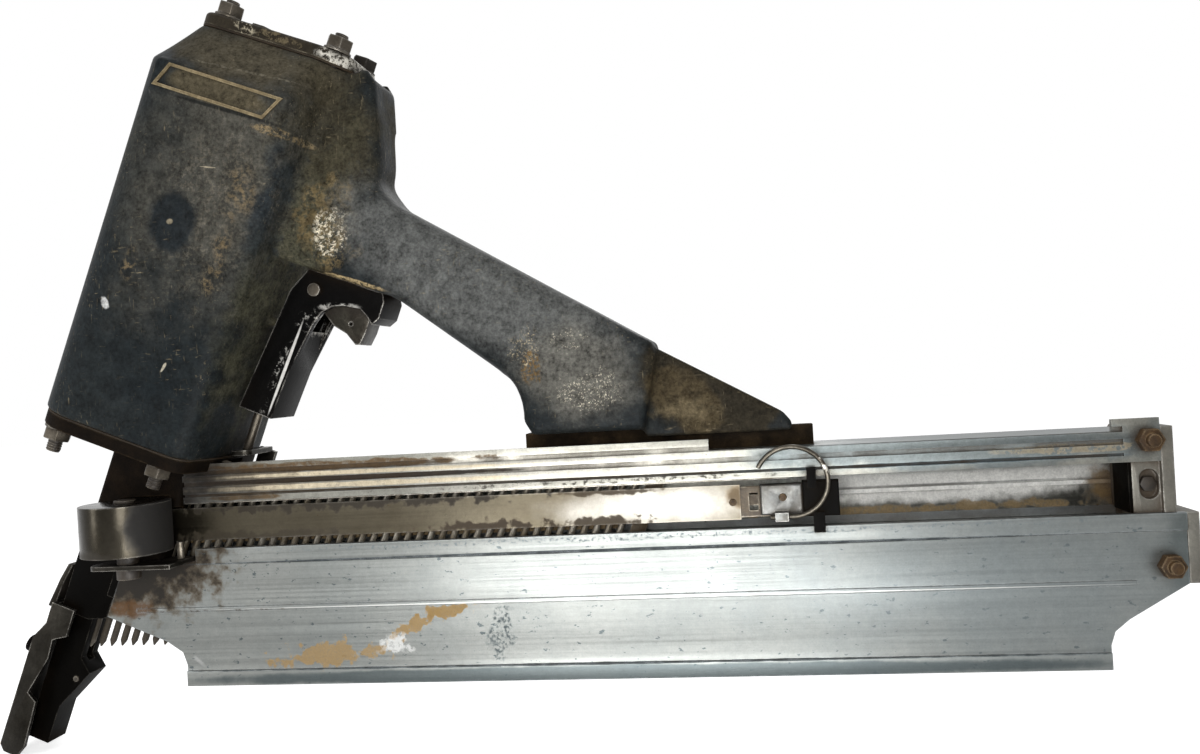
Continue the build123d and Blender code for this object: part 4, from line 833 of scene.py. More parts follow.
NEAR_PLATE_MARKS = (
    Mark(
        tone(101, 108, 110), (250, -150), (150, 60), ragged=0.2, grain=40, strength=0.6, metal=Metal.BARE,
        rough=0.44, soft=0.9,
    ),
    Mark(
        tone(74, 80, 80), (328, -138), (24, 34), ragged=0.2, strength=0.8, metal=Metal.BARE, rough=0.46,
        soft=0.6,
    ),
    Mark(tone(84, 68, 44), (-172, -128), (64, 31), ragged=0.4, grain=120, strength=0.8, soft=0.4),
    Mark(tone(22, 17, 10), (-172, -128), (53, 25), ragged=0.45, grain=120, strength=0.97, soft=0.45),
    Mark(
        tone(92, 62, 30), (-168, -150), (12, 6), ragged=0.6, grain=130, speckle=0.1, strength=0.8,
        soft=0.6,
    ),
    Mark(OCHRE, (-8, -155), (12, 3.0), turn=-6.0, ragged=0.9, grain=270, speckle=0.06, strength=0.85),
    Mark(OCHRE, (-22, -160.5), (12, 3.4), turn=-24.0, ragged=0.9, grain=270, speckle=0.06, strength=0.8),
    Mark(OCHRE, (-66, -174.5), (28, 5.4), turn=-3.0, ragged=0.9, grain=220, speckle=0.06, strength=0.7),
    Mark(tone(232, 232, 230), (-32.7, -170.7), (8, 8), ragged=1.0, grain=90, speckle=0.1, strength=0.45),
    Mark(
        tone(82, 92, 94), (18.4, -165.7), (7, 13), turn=8.0, ragged=0.7, grain=160, speckle=0.38,
        strength=0.9,
    ),
    Mark(
        tone(190, 190, 188), (-134, -176), (5, 1.4), turn=40.0, ragged=0.4, grain=160, strength=0.4,
        soft=0.8,
    ),
    Mark(
        tone(60, 68, 70), (75, -185.5), (240, 4.4), ragged=0.15, grain=40, strength=0.8, metal=Metal.BARE,
        rough=0.45,
    ),
    Mark(tone(50, 58, 61), (75, -181.2), (240, 0.6), ragged=0.4, grain=90, strength=0.85),
    Mark(tone(60, 46, 30), (-120, -151.8), (50, 0.8), ragged=0.3, speckle=0.55, strength=0.9),
    Mark(
        tone(206, 206, 202), (85, -151.4), (235, 0.45), ragged=0.1, strength=0.6, metal=Metal.BARE,
        rough=0.4,
    ),
    Mark(tone(84, 96, 102), (75, -123.4), (235, 1.4), ragged=0.6, grain=160, speckle=0.5, strength=0.6),
    # A dark line under the bead: painted shadow.
    Mark(tone(46, 54, 58), (75, -129.0), (240, 1.0), ragged=0.1, strength=0.9),
)
RAIL = Finish(
    "scuffed_rail_alloy", tone(122, 121, 114), tone(108, 107, 100), metal=Metal.BARE, rough=0.4,
    rough_spread=0.1, mottle=0.2, marks=RAIL_MARKS, worn=tone(170, 176, 178), edge=0.12,
    dirt=tone(60, 46, 30), dirt_amount=0.8, dirt_reach=0.006, drawn=0.6, nick=tone(70, 66, 60),
)
NEAR_PLATE = Finish(
    "scuffed_near_plate", tone(120, 122, 119), tone(111, 114, 112), metal=Metal.BARE, rough=0.44,
    rough_spread=0.08, mottle=0.08, marks=NEAR_PLATE_MARKS, worn=tone(165, 172, 175), edge=0.6,
    dirt=tone(70, 54, 34), dirt_amount=0.5, dirt_reach=0.006, drawn=1.0, nicks=0.62, nick=tone(64, 72, 75),
)
ALLOY = Finish(
    "scuffed_alloy", tone(128, 131, 130), tone(114, 118, 118), metal=Metal.OXIDISED, rough=0.48,
    rough_spread=0.1, mottle=0.12, worn=tone(172, 174, 172), edge=0.6, dirt=tone(74, 58, 38),
    dirt_amount=0.6, drawn=0.55, nick=tone(80, 78, 74),
)
END_ALLOY = Finish(
    "cast_end_alloy", tone(110, 108, 101), tone(90, 87, 80), metal=Metal.OXIDISED, rough=0.55, mottle=0.2,
    mottle_scale=240.0, cloud_scale=60.0, worn=tone(186, 184, 178), edge=0.7, dirt=tone(66, 48, 28),
    dirt_amount=0.85, pit=0.35,
)

# Steel, black coats and small materials
CAP_MARKS = (
    Mark(
        tone(190, 186, 176), (-45, 110), (11, 5), turn=LEAN_DEGREES, ragged=0.5, grain=110, speckle=0.2,
        strength=0.85, metal=Metal.OXIDISED, rough=0.55,
    ),
    Mark(
        tone(190, 180, 156), (-88, 127), (9, 3), turn=LEAN_DEGREES, ragged=0.8, grain=160, speckle=0.45,
        strength=0.7, metal=Metal.BARE, rough=0.4,
    ),
    Mark(
        tone(120, 108, 84), (-70, 120), (14, 3), turn=LEAN_DEGREES, ragged=0.6, grain=110, speckle=0.35,
        strength=0.7,
    ),
)
CAP = Finish(
    "grimy_cap_alloy", tone(52, 46, 36), tone(34, 30, 23), rough=0.6, gloss=0.1, cloud_scale=60.0,
    mottle=0.3, marks=CAP_MARKS, worn=tone(168, 158, 136), edge=0.6, dirt=tone(34, 28, 20),
    dirt_amount=0.8, pit=0.3,
)
BAND_MARKS = (
    # A bright, smoother stretch of the band: painted highlight.
    Mark(
        tone(128, 126, 121), (96, -110), (62, 14), ragged=0.2, strength=0.92, metal=Metal.BARE, rough=0.34,
        soft=0.9,
    ),
    Mark(tone(38, 31, 20), (-60, -102.6), (92, 3.8), ragged=0.9, grain=170, strength=0.85, soft=0.5),
    Mark(tone(50, 42, 28), (-96, -117.0), (50, 3.4), ragged=0.9, grain=170, strength=0.75, soft=0.6),
    Mark(tone(56, 44, 28), (14, -116.4), (30, 3.2), ragged=0.9, grain=190, strength=0.85, soft=0.5),
    Mark(tone(60, 48, 30), (66, -116.6), (26, 2.8), ragged=0.9, grain=190, strength=0.8, soft=0.5),
    Mark(tone(70, 58, 40), (70, -102.6), (28, 1.8), ragged=0.9, grain=190, strength=0.8, soft=0.5),
    Mark(tone(110, 90, 60), (131, -107), (7, 6), ragged=0.5, grain=110, strength=0.7, soft=0.7),
)
BAND_STEEL = Finish(
    "feed_band_steel", tone(74, 69, 58), tone(61, 56, 46), metal=Metal.BARE, rough=0.34, rough_spread=0.06,
    mottle=0.08, marks=BAND_MARKS, worn=tone(150, 146, 138), edge=0.3, dirt=tone(60, 48, 32),
    dirt_amount=0.3, dirt_reach=0.004, drawn=0.35, nick=tone(64, 54, 40),
)
STEEL = Finish(
    "bright_steel", tone(128, 123, 113), tone(92, 86, 76), metal=Metal.BARE, rough=0.36, cloud_scale=90.0,
    mottle=0.2, worn=tone(196, 194, 188), edge=0.7, dirt=tone(56, 44, 30), dirt_amount=0.8,
    dirt_reach=0.006, pit=0.15,
)
DRUM_MARKS = (
    # The drum's right side painted near black: painted shade over dark rust.
    Mark(tone(12, 9, 6), (-136, -108), (13, 24), ragged=0.3, strength=0.95, soft=0.5),
    Mark(tone(38, 32, 23), (-170, -119), (30, 4), ragged=0.4, grain=90, strength=0.6, soft=0.8),
)
DRUM = Finish(
    "polished_drum_steel", tone(50, 47, 41), tone(40, 37, 31), metal=Metal.BARE, rough=0.24,
    cloud_scale=60.0, mottle=0.1, marks=DRUM_MARKS, worn=tone(150, 146, 138), edge=0.5,
    dirt=tone(36, 26, 16), dirt_amount=0.7, dirt_reach=0.006,
)
DULL = Finish(
    "dull_steel", tone(78, 73, 65), tone(57, 52, 45), metal=Metal.BARE, rough=0.45, cloud_scale=80.0,
    mottle=0.25, worn=tone(168, 164, 156), edge=0.7, dirt=tone(40, 30, 20), dirt_amount=0.8,
    dirt_reach=0.008, pit=0.2,
)
CAP_NUT_MARKS = (
    Mark(tone(26, 21, 15), (-45, 116), (34, 18), ragged=0.2, strength=0.92, depth=FAR_NUTS),
)
CAP_NUT = replace(DULL, name="cap_nut_steel", marks=CAP_NUT_MARKS)
LEVER = replace(
    DULL, name="lever_sheet_steel", base=tone(45, 43, 38), shade=tone(33, 30, 26), rough=0.42,
    dirt=tone(34, 26, 17),
)
TRIP = Finish(
    "trip_sheet_steel", tone(42, 40, 36), tone(26, 24, 20), metal=Metal.BARE, rough=0.42, cloud_scale=50.0,
    mottle=0.25, worn=tone(176, 172, 164), edge=0.75, edge_radius=0.0009, dirt=tone(26, 18, 10),
    dirt_amount=0.8, pit=0.2,
)
BARE_STEEL = tone(152, 150, 145)
GUARD_MARKS = (
    Mark(
        BARE_STEEL, (-86, -37), (3.4, 26), turn=26.0, ragged=0.8, grain=95, speckle=0.52, strength=0.95,
        metal=Metal.BARE, rough=0.35,
    ),
    Mark(
        BARE_STEEL, (-68, -14), (9.0, 9), turn=30.0, ragged=0.8, grain=95, speckle=0.6, strength=0.95,
        metal=Metal.BARE, rough=0.35,
    ),
    Mark(
        tone(70, 67, 61), (-72, -40), (5, 26), turn=26.0, ragged=0.8, speckle=0.4, strength=0.8, rough=0.6,
    ),
    # A bright line along the guard's front bend: bare metal with a painted highlight.
    Mark(
        tone(205, 203, 198), (-82.0, -36), (0.9, 27), turn=25.0, ragged=0.1, strength=0.95,
        metal=Metal.BARE, rough=0.3,
    ),
    Mark(
        BARE_STEEL, (-52, -8), (12, 2.2), turn=4.0, ragged=0.6, grain=70, speckle=0.45, strength=0.9,
        metal=Metal.BARE, rough=0.35,
    ),
    Mark(
        tone(150, 120, 74), (-88, -62), (3, 6), turn=27.0, ragged=0.5, grain=120, speckle=0.4,
        strength=0.8,
    ),
)
GUARD = Finish(
    "worn_black_guard", tone(10, 10, 10), tone(17, 16, 15), rough=0.3, gloss=0.02, mottle=0.2,
    marks=GUARD_MARKS, worn=tone(186, 182, 174), edge=0.85, edge_radius=0.0011, edge_scale=60.0,
    dirt=tone(36, 27, 17), dirt_amount=0.5,
)
NOSE = Finish(
    "black_nose_steel", tone(7, 6, 5), tone(10, 9, 7), rough=0.42, gloss=0.015, worn=tone(104, 100, 92),
    edge=0.55, edge_radius=0.0008, dirt=tone(24, 17, 10), dirt_amount=0.5,
)
NECK = Finish(
    "dirty_neck", tone(24, 17, 10), tone(14, 10, 7), rough=0.7, gloss=0.04, worn=tone(92, 76, 54),
    worn_metal=Metal.COATED, edge=0.35, cloud_scale=90.0, mottle=0.35, dirt=tone(12, 9, 6),
    dirt_amount=0.9, pit=0.4,
)
BRACKET = Finish(
    "grimy_tail_bracket", tone(50, 39, 25), tone(30, 23, 15), rough=0.7, gloss=0.05,
    worn=tone(110, 92, 64), worn_metal=Metal.COATED, edge=0.35, cloud_scale=80.0, mottle=0.4,
    chip_cover=0.25, chip_patch=40.0, chip_scale=300.0, dirt=tone(12, 9, 6), dirt_amount=0.8, pit=0.4,
)
RUST = Finish(
    "rusty_steel", tone(78, 57, 33), tone(46, 33, 19), rough=0.6, gloss=0.2, cloud_scale=200.0, mottle=0.4,
    worn=tone(190, 164, 126), worn_metal=Metal.COATED, edge=0.6, dirt=tone(40, 26, 12), dirt_amount=0.7,
    pit=0.4,
)
PUSHER_STEEL = replace(STEEL, name="worn_pusher_steel", base=tone(88, 89, 88), shade=tone(58, 56, 52))
STUD = Finish(
    "dark_stud_steel", tone(52, 44, 34), tone(34, 27, 20), rough=0.5, gloss=0.35, cloud_scale=160.0,
    mottle=0.3, worn=tone(170, 162, 146), edge=0.6, dirt=tone(24, 18, 12), dirt_amount=0.6, pit=0.3,
)
NAIL_MARKS = (
    Mark(tone(46, 38, 27), (-150, -160), (70, 30), ragged=0.15, strength=0.92),
)
NAIL_STEEL = Finish(
    "nail_wire", tone(176, 170, 158), tone(120, 108, 88), metal=Metal.OXIDISED, rough=0.36,
    cloud_scale=120.0, marks=NAIL_MARKS, mottle=0.25, worn=tone(210, 206, 198), edge=0.2,
    dirt=tone(30, 22, 14), dirt_amount=0.0,
)
RING_WIRE = Finish(
    "dirty_ring_wire", tone(82, 78, 70), tone(40, 36, 30), metal=Metal.BARE, rough=0.34, cloud_scale=240.0,
    mottle=0.3, worn=tone(210, 206, 196), edge=0.2, chip_cover=0.5, chip_patch=120.0, chip_scale=420.0,
    dirt=tone(28, 20, 12), dirt_amount=0.5,
)
PUSHER_TAN = Finish(
    "tan_pusher_steel", tone(96, 80, 54), tone(66, 53, 34), rough=0.55, gloss=0.4, cloud_scale=140.0,
    mottle=0.35, worn=tone(206, 198, 180), edge=0.7, chip_cover=0.35, chip_patch=120.0, chip_scale=420.0,
    dirt=tone(44, 32, 18), dirt_amount=0.8, dirt_reach=0.006,
)
RUBBER = Finish(
    "black_rubber", tone(8, 8, 8), tone(14, 13, 12), rough=0.6, gloss=0.03, worn=tone(46, 42, 37),
    worn_metal=Metal.COATED, edge=0.4, dirt=tone(40, 32, 22), dirt_amount=0.4,
)
FIBRE = Finish(
    "gasket_fibre", tone(50, 42, 32), tone(34, 28, 22), rough=0.8, gloss=0.2, worn=tone(84, 72, 54),
    worn_metal=Metal.COATED,
)
PAPER = Finish(
    "paper_tape", tone(140, 122, 92), tone(112, 96, 70), rough=0.85, gloss=0.2, worn=tone(170, 152, 120),
    worn_metal=Metal.COATED, edge=0.1,
)
BRASS = Finish(
    "dull_brass", tone(150, 122, 66), tone(110, 88, 48), metal=Metal.BARE, rough=0.4,
    worn=tone(196, 168, 104),
)


@dataclass(frozen=True)
class Lamp:
    """One oblong studio lamp, in metres and watts."""

    name: str
    place: Triple
    target: Triple
    size: Pair
    power: float
    lights_dull: bool = True

    def hang(self) -> None:
        """Hang the lamp, facing its target."""
        data = bpy.data.lights.new(self.name, "AREA")
        data.shape = "RECTANGLE"
        data.size, data.size_y = self.size
        data.energy = self.power
        lamp = bpy.data.objects.new(self.name, data)
        lamp.location = self.place
        aim = Vector(self.target) - Vector(self.place)
        lamp.rotation_euler = aim.to_track_quat("-Z", "Y").to_euler()
        lamp.visible_camera = False
        lamp.visible_diffuse = self.lights_dull
        bpy.context.scene.collection.objects.link(lamp)


@dataclass(frozen=True)
class Studio:
    """White studio with one soft lamp beside the camera, a card for the magazine and two rim lamps."""

    floor_size: float = 8.0
    floor_grey: float = 0.8
    floor_glow: float = 0.72
    fill: float = 0.12
    sun: float = 1.0
    sun_spread: float = math.radians(70.0)
    white: tuple[float, float, float, float] = (1.0, 1.0, 1.0, 1.0)
    lamps: tuple[Lamp, ...] = (
        Lamp("key", (0.06, -0.56, -0.02), (0.05, 0.0, -0.08), size=(0.22, 0.22), power=1.8),
        Lamp("card", (0.085, -0.25, -0.19), (0.085, 0.0, -0.15), (0.3, 0.08), power=1.0, lights_dull=False),
        Lamp("rear", (-0.1, 0.9, 0.45), (0.05, 0.0, -0.05), size=(0.8, 0.8), power=4.0),
        Lamp("side", (-0.62, -0.42, 0.0), (-0.15, -0.02, -0.05), size=(0.12, 0.5), power=1.15),
    )

    def build(self, level: float) -> None:
        """Set up the floor, the world, the lamps and the view transform.

        Args:
            level: The height of the floor in metres.
        """
        bpy.context.scene.view_settings.view_transform = "Standard"
        self.ground(level)
        self.sky()
        for lamp in self.lamps:
            lamp.hang()
        self.daylight()

    @staticmethod
    def seen(kit: NodeKit) -> Socket:
        """Find the rays that show the background: from the camera, off metal and through glass.


        Returns:
            1 for those rays and 0 for the rest.
        """
        path = kit.add("ShaderNodeLightPath").outputs
        shown = kit.math("ADD", path["Is Camera Ray"], path["Is Glossy Ray"])
        return kit.math("ADD", shown, path["Is Transmission Ray"], clamp=True)

    def ground(self, level: float) -> None:
        """Lay the pale floor, which keeps the tool's shadow.

        Args:
            level: The height of the floor in metres.
        """
        bpy.ops.mesh.primitive_plane_add(size=self.floor_size, location=(0.0, 0.0, level))
        floor = bpy.context.object
        floor.name = "studio_floor"
        material = bpy.data.materials.new("studio_floor")
        material.use_nodes = True
        kit = NodeKit(material.node_tree)
        shader = material.node_tree.nodes["Principled BSDF"]
        shader.inputs["Base Color"].default_value = (self.floor_grey, self.floor_grey, self.floor_grey, 1.0)
        shader.inputs["Roughness"].default_value = 1.0
        shader.inputs["Specular IOR Level"].default_value = 0.0
        shader.inputs["Emission Color"].default_value = self.white
        kit.link(kit.math("MULTIPLY", self.seen(kit), self.floor_glow), shader.inputs["Emission Strength"])
        floor.data.materials.append(material)
        floor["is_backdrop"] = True

    def sky(self) -> None:
        """Make the world white where it is seen and dimmer where it only lights."""
        world = bpy.data.worlds.new("studio_world")
        bpy.context.scene.world = world
        world.use_nodes = True
        kit = NodeKit(world.node_tree)
        back = world.node_tree.nodes["Background"]
        kit.link(kit.blend(self.seen(kit), self.fill, 1.0), back.inputs["Strength"])
        back.inputs["Color"].default_value = self.white

    def daylight(self) -> None:
        """Light the floor evenly from a broad patch of sky."""
        data = bpy.data.lights.new("daylight", "SUN")
        data.energy = self.sun
        data.angle = self.sun_spread
        bpy.context.scene.collection.objects.link(bpy.data.objects.new("daylight", data))


@dataclass(frozen=True)
class PhotoCamera:
    """Camera at the photograph's place and angle."""

    lens: float = 30.0
    sensor: float = 36.0
    near_clip: float = 0.01
    place: Triple = (0.1340, -0.4737, -0.0490)
    turn: float = math.radians(7.7)
    roll: float = math.radians(3.34)

    def build(self) -> None:
        """Make the camera and set it as the scene's own."""
        data = bpy.data.cameras.new("photo_camera")
        data.lens = self.lens
        data.sensor_width = self.sensor
        data.clip_start = self.near_clip
        camera = bpy.data.objects.new("photo_camera", data)
        ahead = Vector((-math.sin(self.turn), math.cos(self.turn), 0.0))
        level = Vector((math.cos(self.turn), math.sin(self.turn), 0.0))
        upright = Vector((0.0, 0.0, 1.0))
        right = math.cos(self.roll) * level - math.sin(self.roll) * upright
        up = math.sin(self.roll) * level + math.cos(self.roll) * upright
        turn = Matrix((right, up, -ahead)).transposed()
        camera.matrix_world = Matrix.Translation(self.place) @ turn.to_4x4()
        bpy.context.scene.collection.objects.link(camera)
        bpy.context.scene.camera = camera


class Edge(Enum):
    """How an edge is softened: its width in millimetres and the steps across it."""

    WIRE = (0.1, 2)
    SHEET = (0.2, 2)
    WASHER = (0.25, 2)
    STEM = (0.3, 2)
    STUD = (0.4, 2)
    NUT = (0.5, 2)
    BLOCK = (0.6, 2)
    RAIL = (0.6, 3)
    BOLT = (0.7, 3)
    PLATE = (0.8, 3)
    CASTING = (0.9, 3)
    CAP = (1.2, 3)
    GUARD = (1.3, 4)
    BRACKET = (1.8, 4)


Dress = tuple[tuple[str, Finish, Edge], ...]


class Bench:
    """Makes pieces, finishes them and ties them to the CAD bodies."""

    merge_gap = 0.002 * MM
    flat_angle = math.radians(1.0)
    sharp_angle = math.radians(32.0)

    def __init__(self, frame: dict) -> None:
        """Keep the CAD nodes and which body and material slot each belongs to.
        """
        record = frame["record"]
        bodies = record["behaviour"]["bodies"]
        self.nodes: dict[str, Piece] = frame["nodes"]
        self.body: dict[str, str] = {name: body for body, names in bodies.items() for name in names}
        self.slot: dict[str, str] = {part["node"]: part["material_slot"] for part in record["subparts"]}

    def paint(self, finish: Finish, *names: str) -> None:
        """Give CAD nodes a finish as they stand.

        Args:
            finish: Their finish.
            *names: The nodes.
        """
        for name in names:
            node = self.nodes[name]
            node.data.materials.clear()
            node.data.materials.append(finish.material())
            LOG.info("painted %s", name)

    def dress(self, table: Dress) -> None:
        """Replace each CAD node of a table by a copy with softened edges."""
        for name, finish, edge in table:
            self.edged(name, finish, edge)

    def copy(self, name: str) -> Piece:
        """Copy a CAD node's mesh as one joined surface.

        Args:
            name: The node.

        Returns:
            A loose object with the merged mesh.
        """
        mesh = self.nodes[name].data.copy()
        mesh.materials.clear()
        work = bmesh.new()
        work.from_mesh(mesh)
        bmesh.ops.remove_doubles(work, verts=work.verts, dist=self.merge_gap)
        bmesh.ops.dissolve_limit(work, angle_limit=self.flat_angle, verts=work.verts, edges=work.edges)
        return self.place(f"{name}_dressed", work, mesh)

    @staticmethod
    def place(name: str, work: bmesh.types.BMesh, mesh: bpy.types.Mesh | None = None) -> Piece:
        """Put a finished bmesh into an object of the scene.

        Args:
            name: The object's name.
            work: The bmesh, which is freed.
            mesh: A mesh to write into, or None for a new one.

        Returns:
            The new object, at the origin.
        """
        mesh = mesh or bpy.data.meshes.new(name)
        work.to_mesh(mesh)
        work.free()
        piece = bpy.data.objects.new(name, mesh)
        bpy.context.scene.collection.objects.link(piece)
        return piece

    def edged(self, name: str, finish: Finish, edge: Edge) -> Piece:
        """Replace a CAD node by a copy with softened edges.

        Args:
            name: The node.
            finish: Its finish.
            edge: How its edges are softened.

        Returns:
            The dressed piece.
        """
        piece = self.copy(name)
        width, segments = edge.value
        bevel = piece.modifiers.new("edges", "BEVEL")
        bevel.width = width * MM
        bevel.segments = segments
        bevel.limit_method = "ANGLE"
        bevel.angle_limit = self.sharp_angle
        self.bake(piece)
        self.smooth(piece)
        return self.tie(piece, self.body[name], finish, name)

    @staticmethod
    def bake(piece: Piece) -> None:
        """Turn a piece and its modifiers into one plain mesh.

        Args:
            piece: The piece.
        """
        graph = bpy.context.evaluated_depsgraph_get()
        mesh = bpy.data.meshes.new_from_object(piece.evaluated_get(graph))
        piece.modifiers.clear()
        piece.data = mesh

    @classmethod
    def smooth(cls, piece: Piece) -> None:
        """Shade a piece smooth, apart from its sharp edges."""
        piece.data.shade_smooth()
        piece.data.set_sharp_from_angle(angle=cls.sharp_angle)

    def tie(self, piece: Piece, body: str, finish: Finish, *stands_for: str) -> Piece:
        """Finish a piece and tie it to its body.

        Args:
            piece: The piece.
            body: The CAD body it moves with.
            finish: Its finish.
            *stands_for: CAD nodes that the piece is shown in place of.

        Returns:
            The piece.
        """
        piece.data.materials.clear()
        piece.data.materials.append(finish.material())
        if stands_for:
            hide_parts(*stands_for)
        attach(piece, body)
        LOG.info("built %s, %d faces", piece.name, len(piece.data.polygons))
        return piece

    def add_to(self, piece: Piece, name: str, finish: Finish) -> None:
        """Finish a piece that adds to a CAD node, and give it that node's body."""
        self.tie(piece, self.body[name], finish)


class Tree:
    """One Geometry Nodes tree, built in steps, that sets a shape on every point of a mesh."""

    def __init__(self, name: str, inputs: dict[str, float]) -> None:
        """Open the tree with its points, sizes, lean and material as inputs.

        Args:
            name: The tree's name.
            inputs: Names of the sizes with the values used in this tool, in metres or counts.
        """
        self.tree = bpy.data.node_groups.new(name, "GeometryNodeTree")
        self.inputs = inputs
        self.tree.interface.new_socket("Geometry", in_out="INPUT", socket_type="NodeSocketGeometry")
        for label in inputs:
            self.tree.interface.new_socket(label, in_out="INPUT", socket_type="NodeSocketFloat")
        self.tree.interface.new_socket("Material", in_out="INPUT", socket_type="NodeSocketMaterial")
        self.tree.interface.new_socket("Geometry", in_out="OUTPUT", socket_type="NodeSocketGeometry")
        self.kit = NodeKit(self.tree)
        self.get = {socket.name: socket for socket in self.kit.add("NodeGroupInput").outputs if socket.name}

    def shape(self, kind: str, wanted: str, **values: object) -> Socket:
        """Add a node, feed its inputs by name and give one of its outputs.

        Args:
            kind: The node's type name.
            wanted: The output to give back.
            **values: Input values or sockets, with spaces in names written as underscores.

        Returns:
            The wanted output.
        """
        node = self.kit.add(kind)
        for label, value in values.items():
            self.kit.feed(node.inputs[label.replace("_", " ")], value)
        return node.outputs[wanted]

    def raised(self, mesh: Socket, height: Socket) -> Socket:
        """Lift a shape along its own axis."""
        offset = self.shape("ShaderNodeCombineXYZ", "Vector", Z=height)
        return self.shape("GeometryNodeTransform", "Geometry", Geometry=mesh, Translation=offset)

    def joined(self, *meshes: Socket) -> Socket:
        """Join several shapes into one.

        Args:
            *meshes: The shapes.

        Returns:
            The joined shape.
        """
        node = self.kit.add("GeometryNodeJoinGeometry")
        for mesh in meshes:
            self.kit.link(mesh, node.inputs["Geometry"])
        return node.outputs["Geometry"]

    def close(self, mesh: Socket) -> None:
        """Set the shape on the points, leaned like the drive line, and end the tree.

        Args:
            mesh: The shape to repeat.
        """
        points, material = self.get["Geometry"], self.get["Material"]
        lean = self.shape("ShaderNodeCombineXYZ", "Vector", Y=self.get["Lean"])
        copies = self.shape(
            "GeometryNodeInstanceOnPoints", "Instances", Points=points, Instance=mesh, Rotation=lean,
        )
        real = self.shape("GeometryNodeRealizeInstances", "Geometry", Geometry=copies)
        dressed = self.shape("GeometryNodeSetMaterial", "Geometry", Geometry=real, Material=material)
        self.kit.link(dressed, self.kit.add("NodeGroupOutput").inputs["Geometry"])

    def grow(self, name: str, places: list[Vector], finish: Finish) -> Piece:
        """Make a piece from the tree, with one copy of the shape at each place.

        Args:
            name: The piece's name.
            places: Places in millimetres.
            finish: The finish of the copies.

        Returns:
            The piece as a plain mesh.
        """
        work = bmesh.new()
        for place in places:
            work.verts.new(place * MM)
        piece = Bench.place(name, work)
        modifier = piece.modifiers.new(name, "NODES")
        modifier.node_group = self.tree
        values = self.inputs | {"Material": finish.material()}
        for socket in self.tree.interface.items_tree:
            if socket.in_out == "INPUT" and socket.name in values:
                modifier[socket.identifier] = values[socket.name]
        Bench.bake(piece)
        Bench.smooth(piece)
        return piece


@dataclass(frozen=True)
class Coil:
    """Wire wound round the drive direction: a screw's thread or a spring, in millimetres."""

    radius: float
    height: float
    pitch: float
    wire: float
    steps: int = 20
    sides: int = 6

    def grow(self, name: str, places: list[Vector], finish: Finish) -> Piece:
        """Wind one coil up from each place.

        Args:
            name: The piece's name.
            places: The coils' lower ends in millimetres.
            finish: Their finish.

        Returns:
            The coils as one plain mesh.
        """
        sizes = {"Radius": self.radius * MM, "Height": self.height * MM, "Turns": self.height / self.pitch}
        tree = Tree(name, sizes | {"Wire": self.wire * MM, "Lean": LEAN})
        get = tree.get
        line = tree.shape(
            "GeometryNodeCurveSpiral", "Curve", Resolution=self.steps, Rotations=get["Turns"],
            Start_Radius=get["Radius"], End_Radius=get["Radius"], Height=get["Height"],
        )
        rim = tree.shape(
            "GeometryNodeCurvePrimitiveCircle", "Curve", Resolution=self.sides, Radius=get["Wire"],
        )
        wire = tree.shape("GeometryNodeCurveToMesh", "Mesh", Curve=line, Profile_Curve=rim, Fill_Caps=True)
        tree.close(wire)
        return tree.grow(name, places, finish)


class Melt(Enum):
    """How far a place of the casting flows into its neighbours, from 0 to 1."""

    CRISP = 0.02
    FIRM = 0.03
    PART = 0.25
    FULL = 0.9


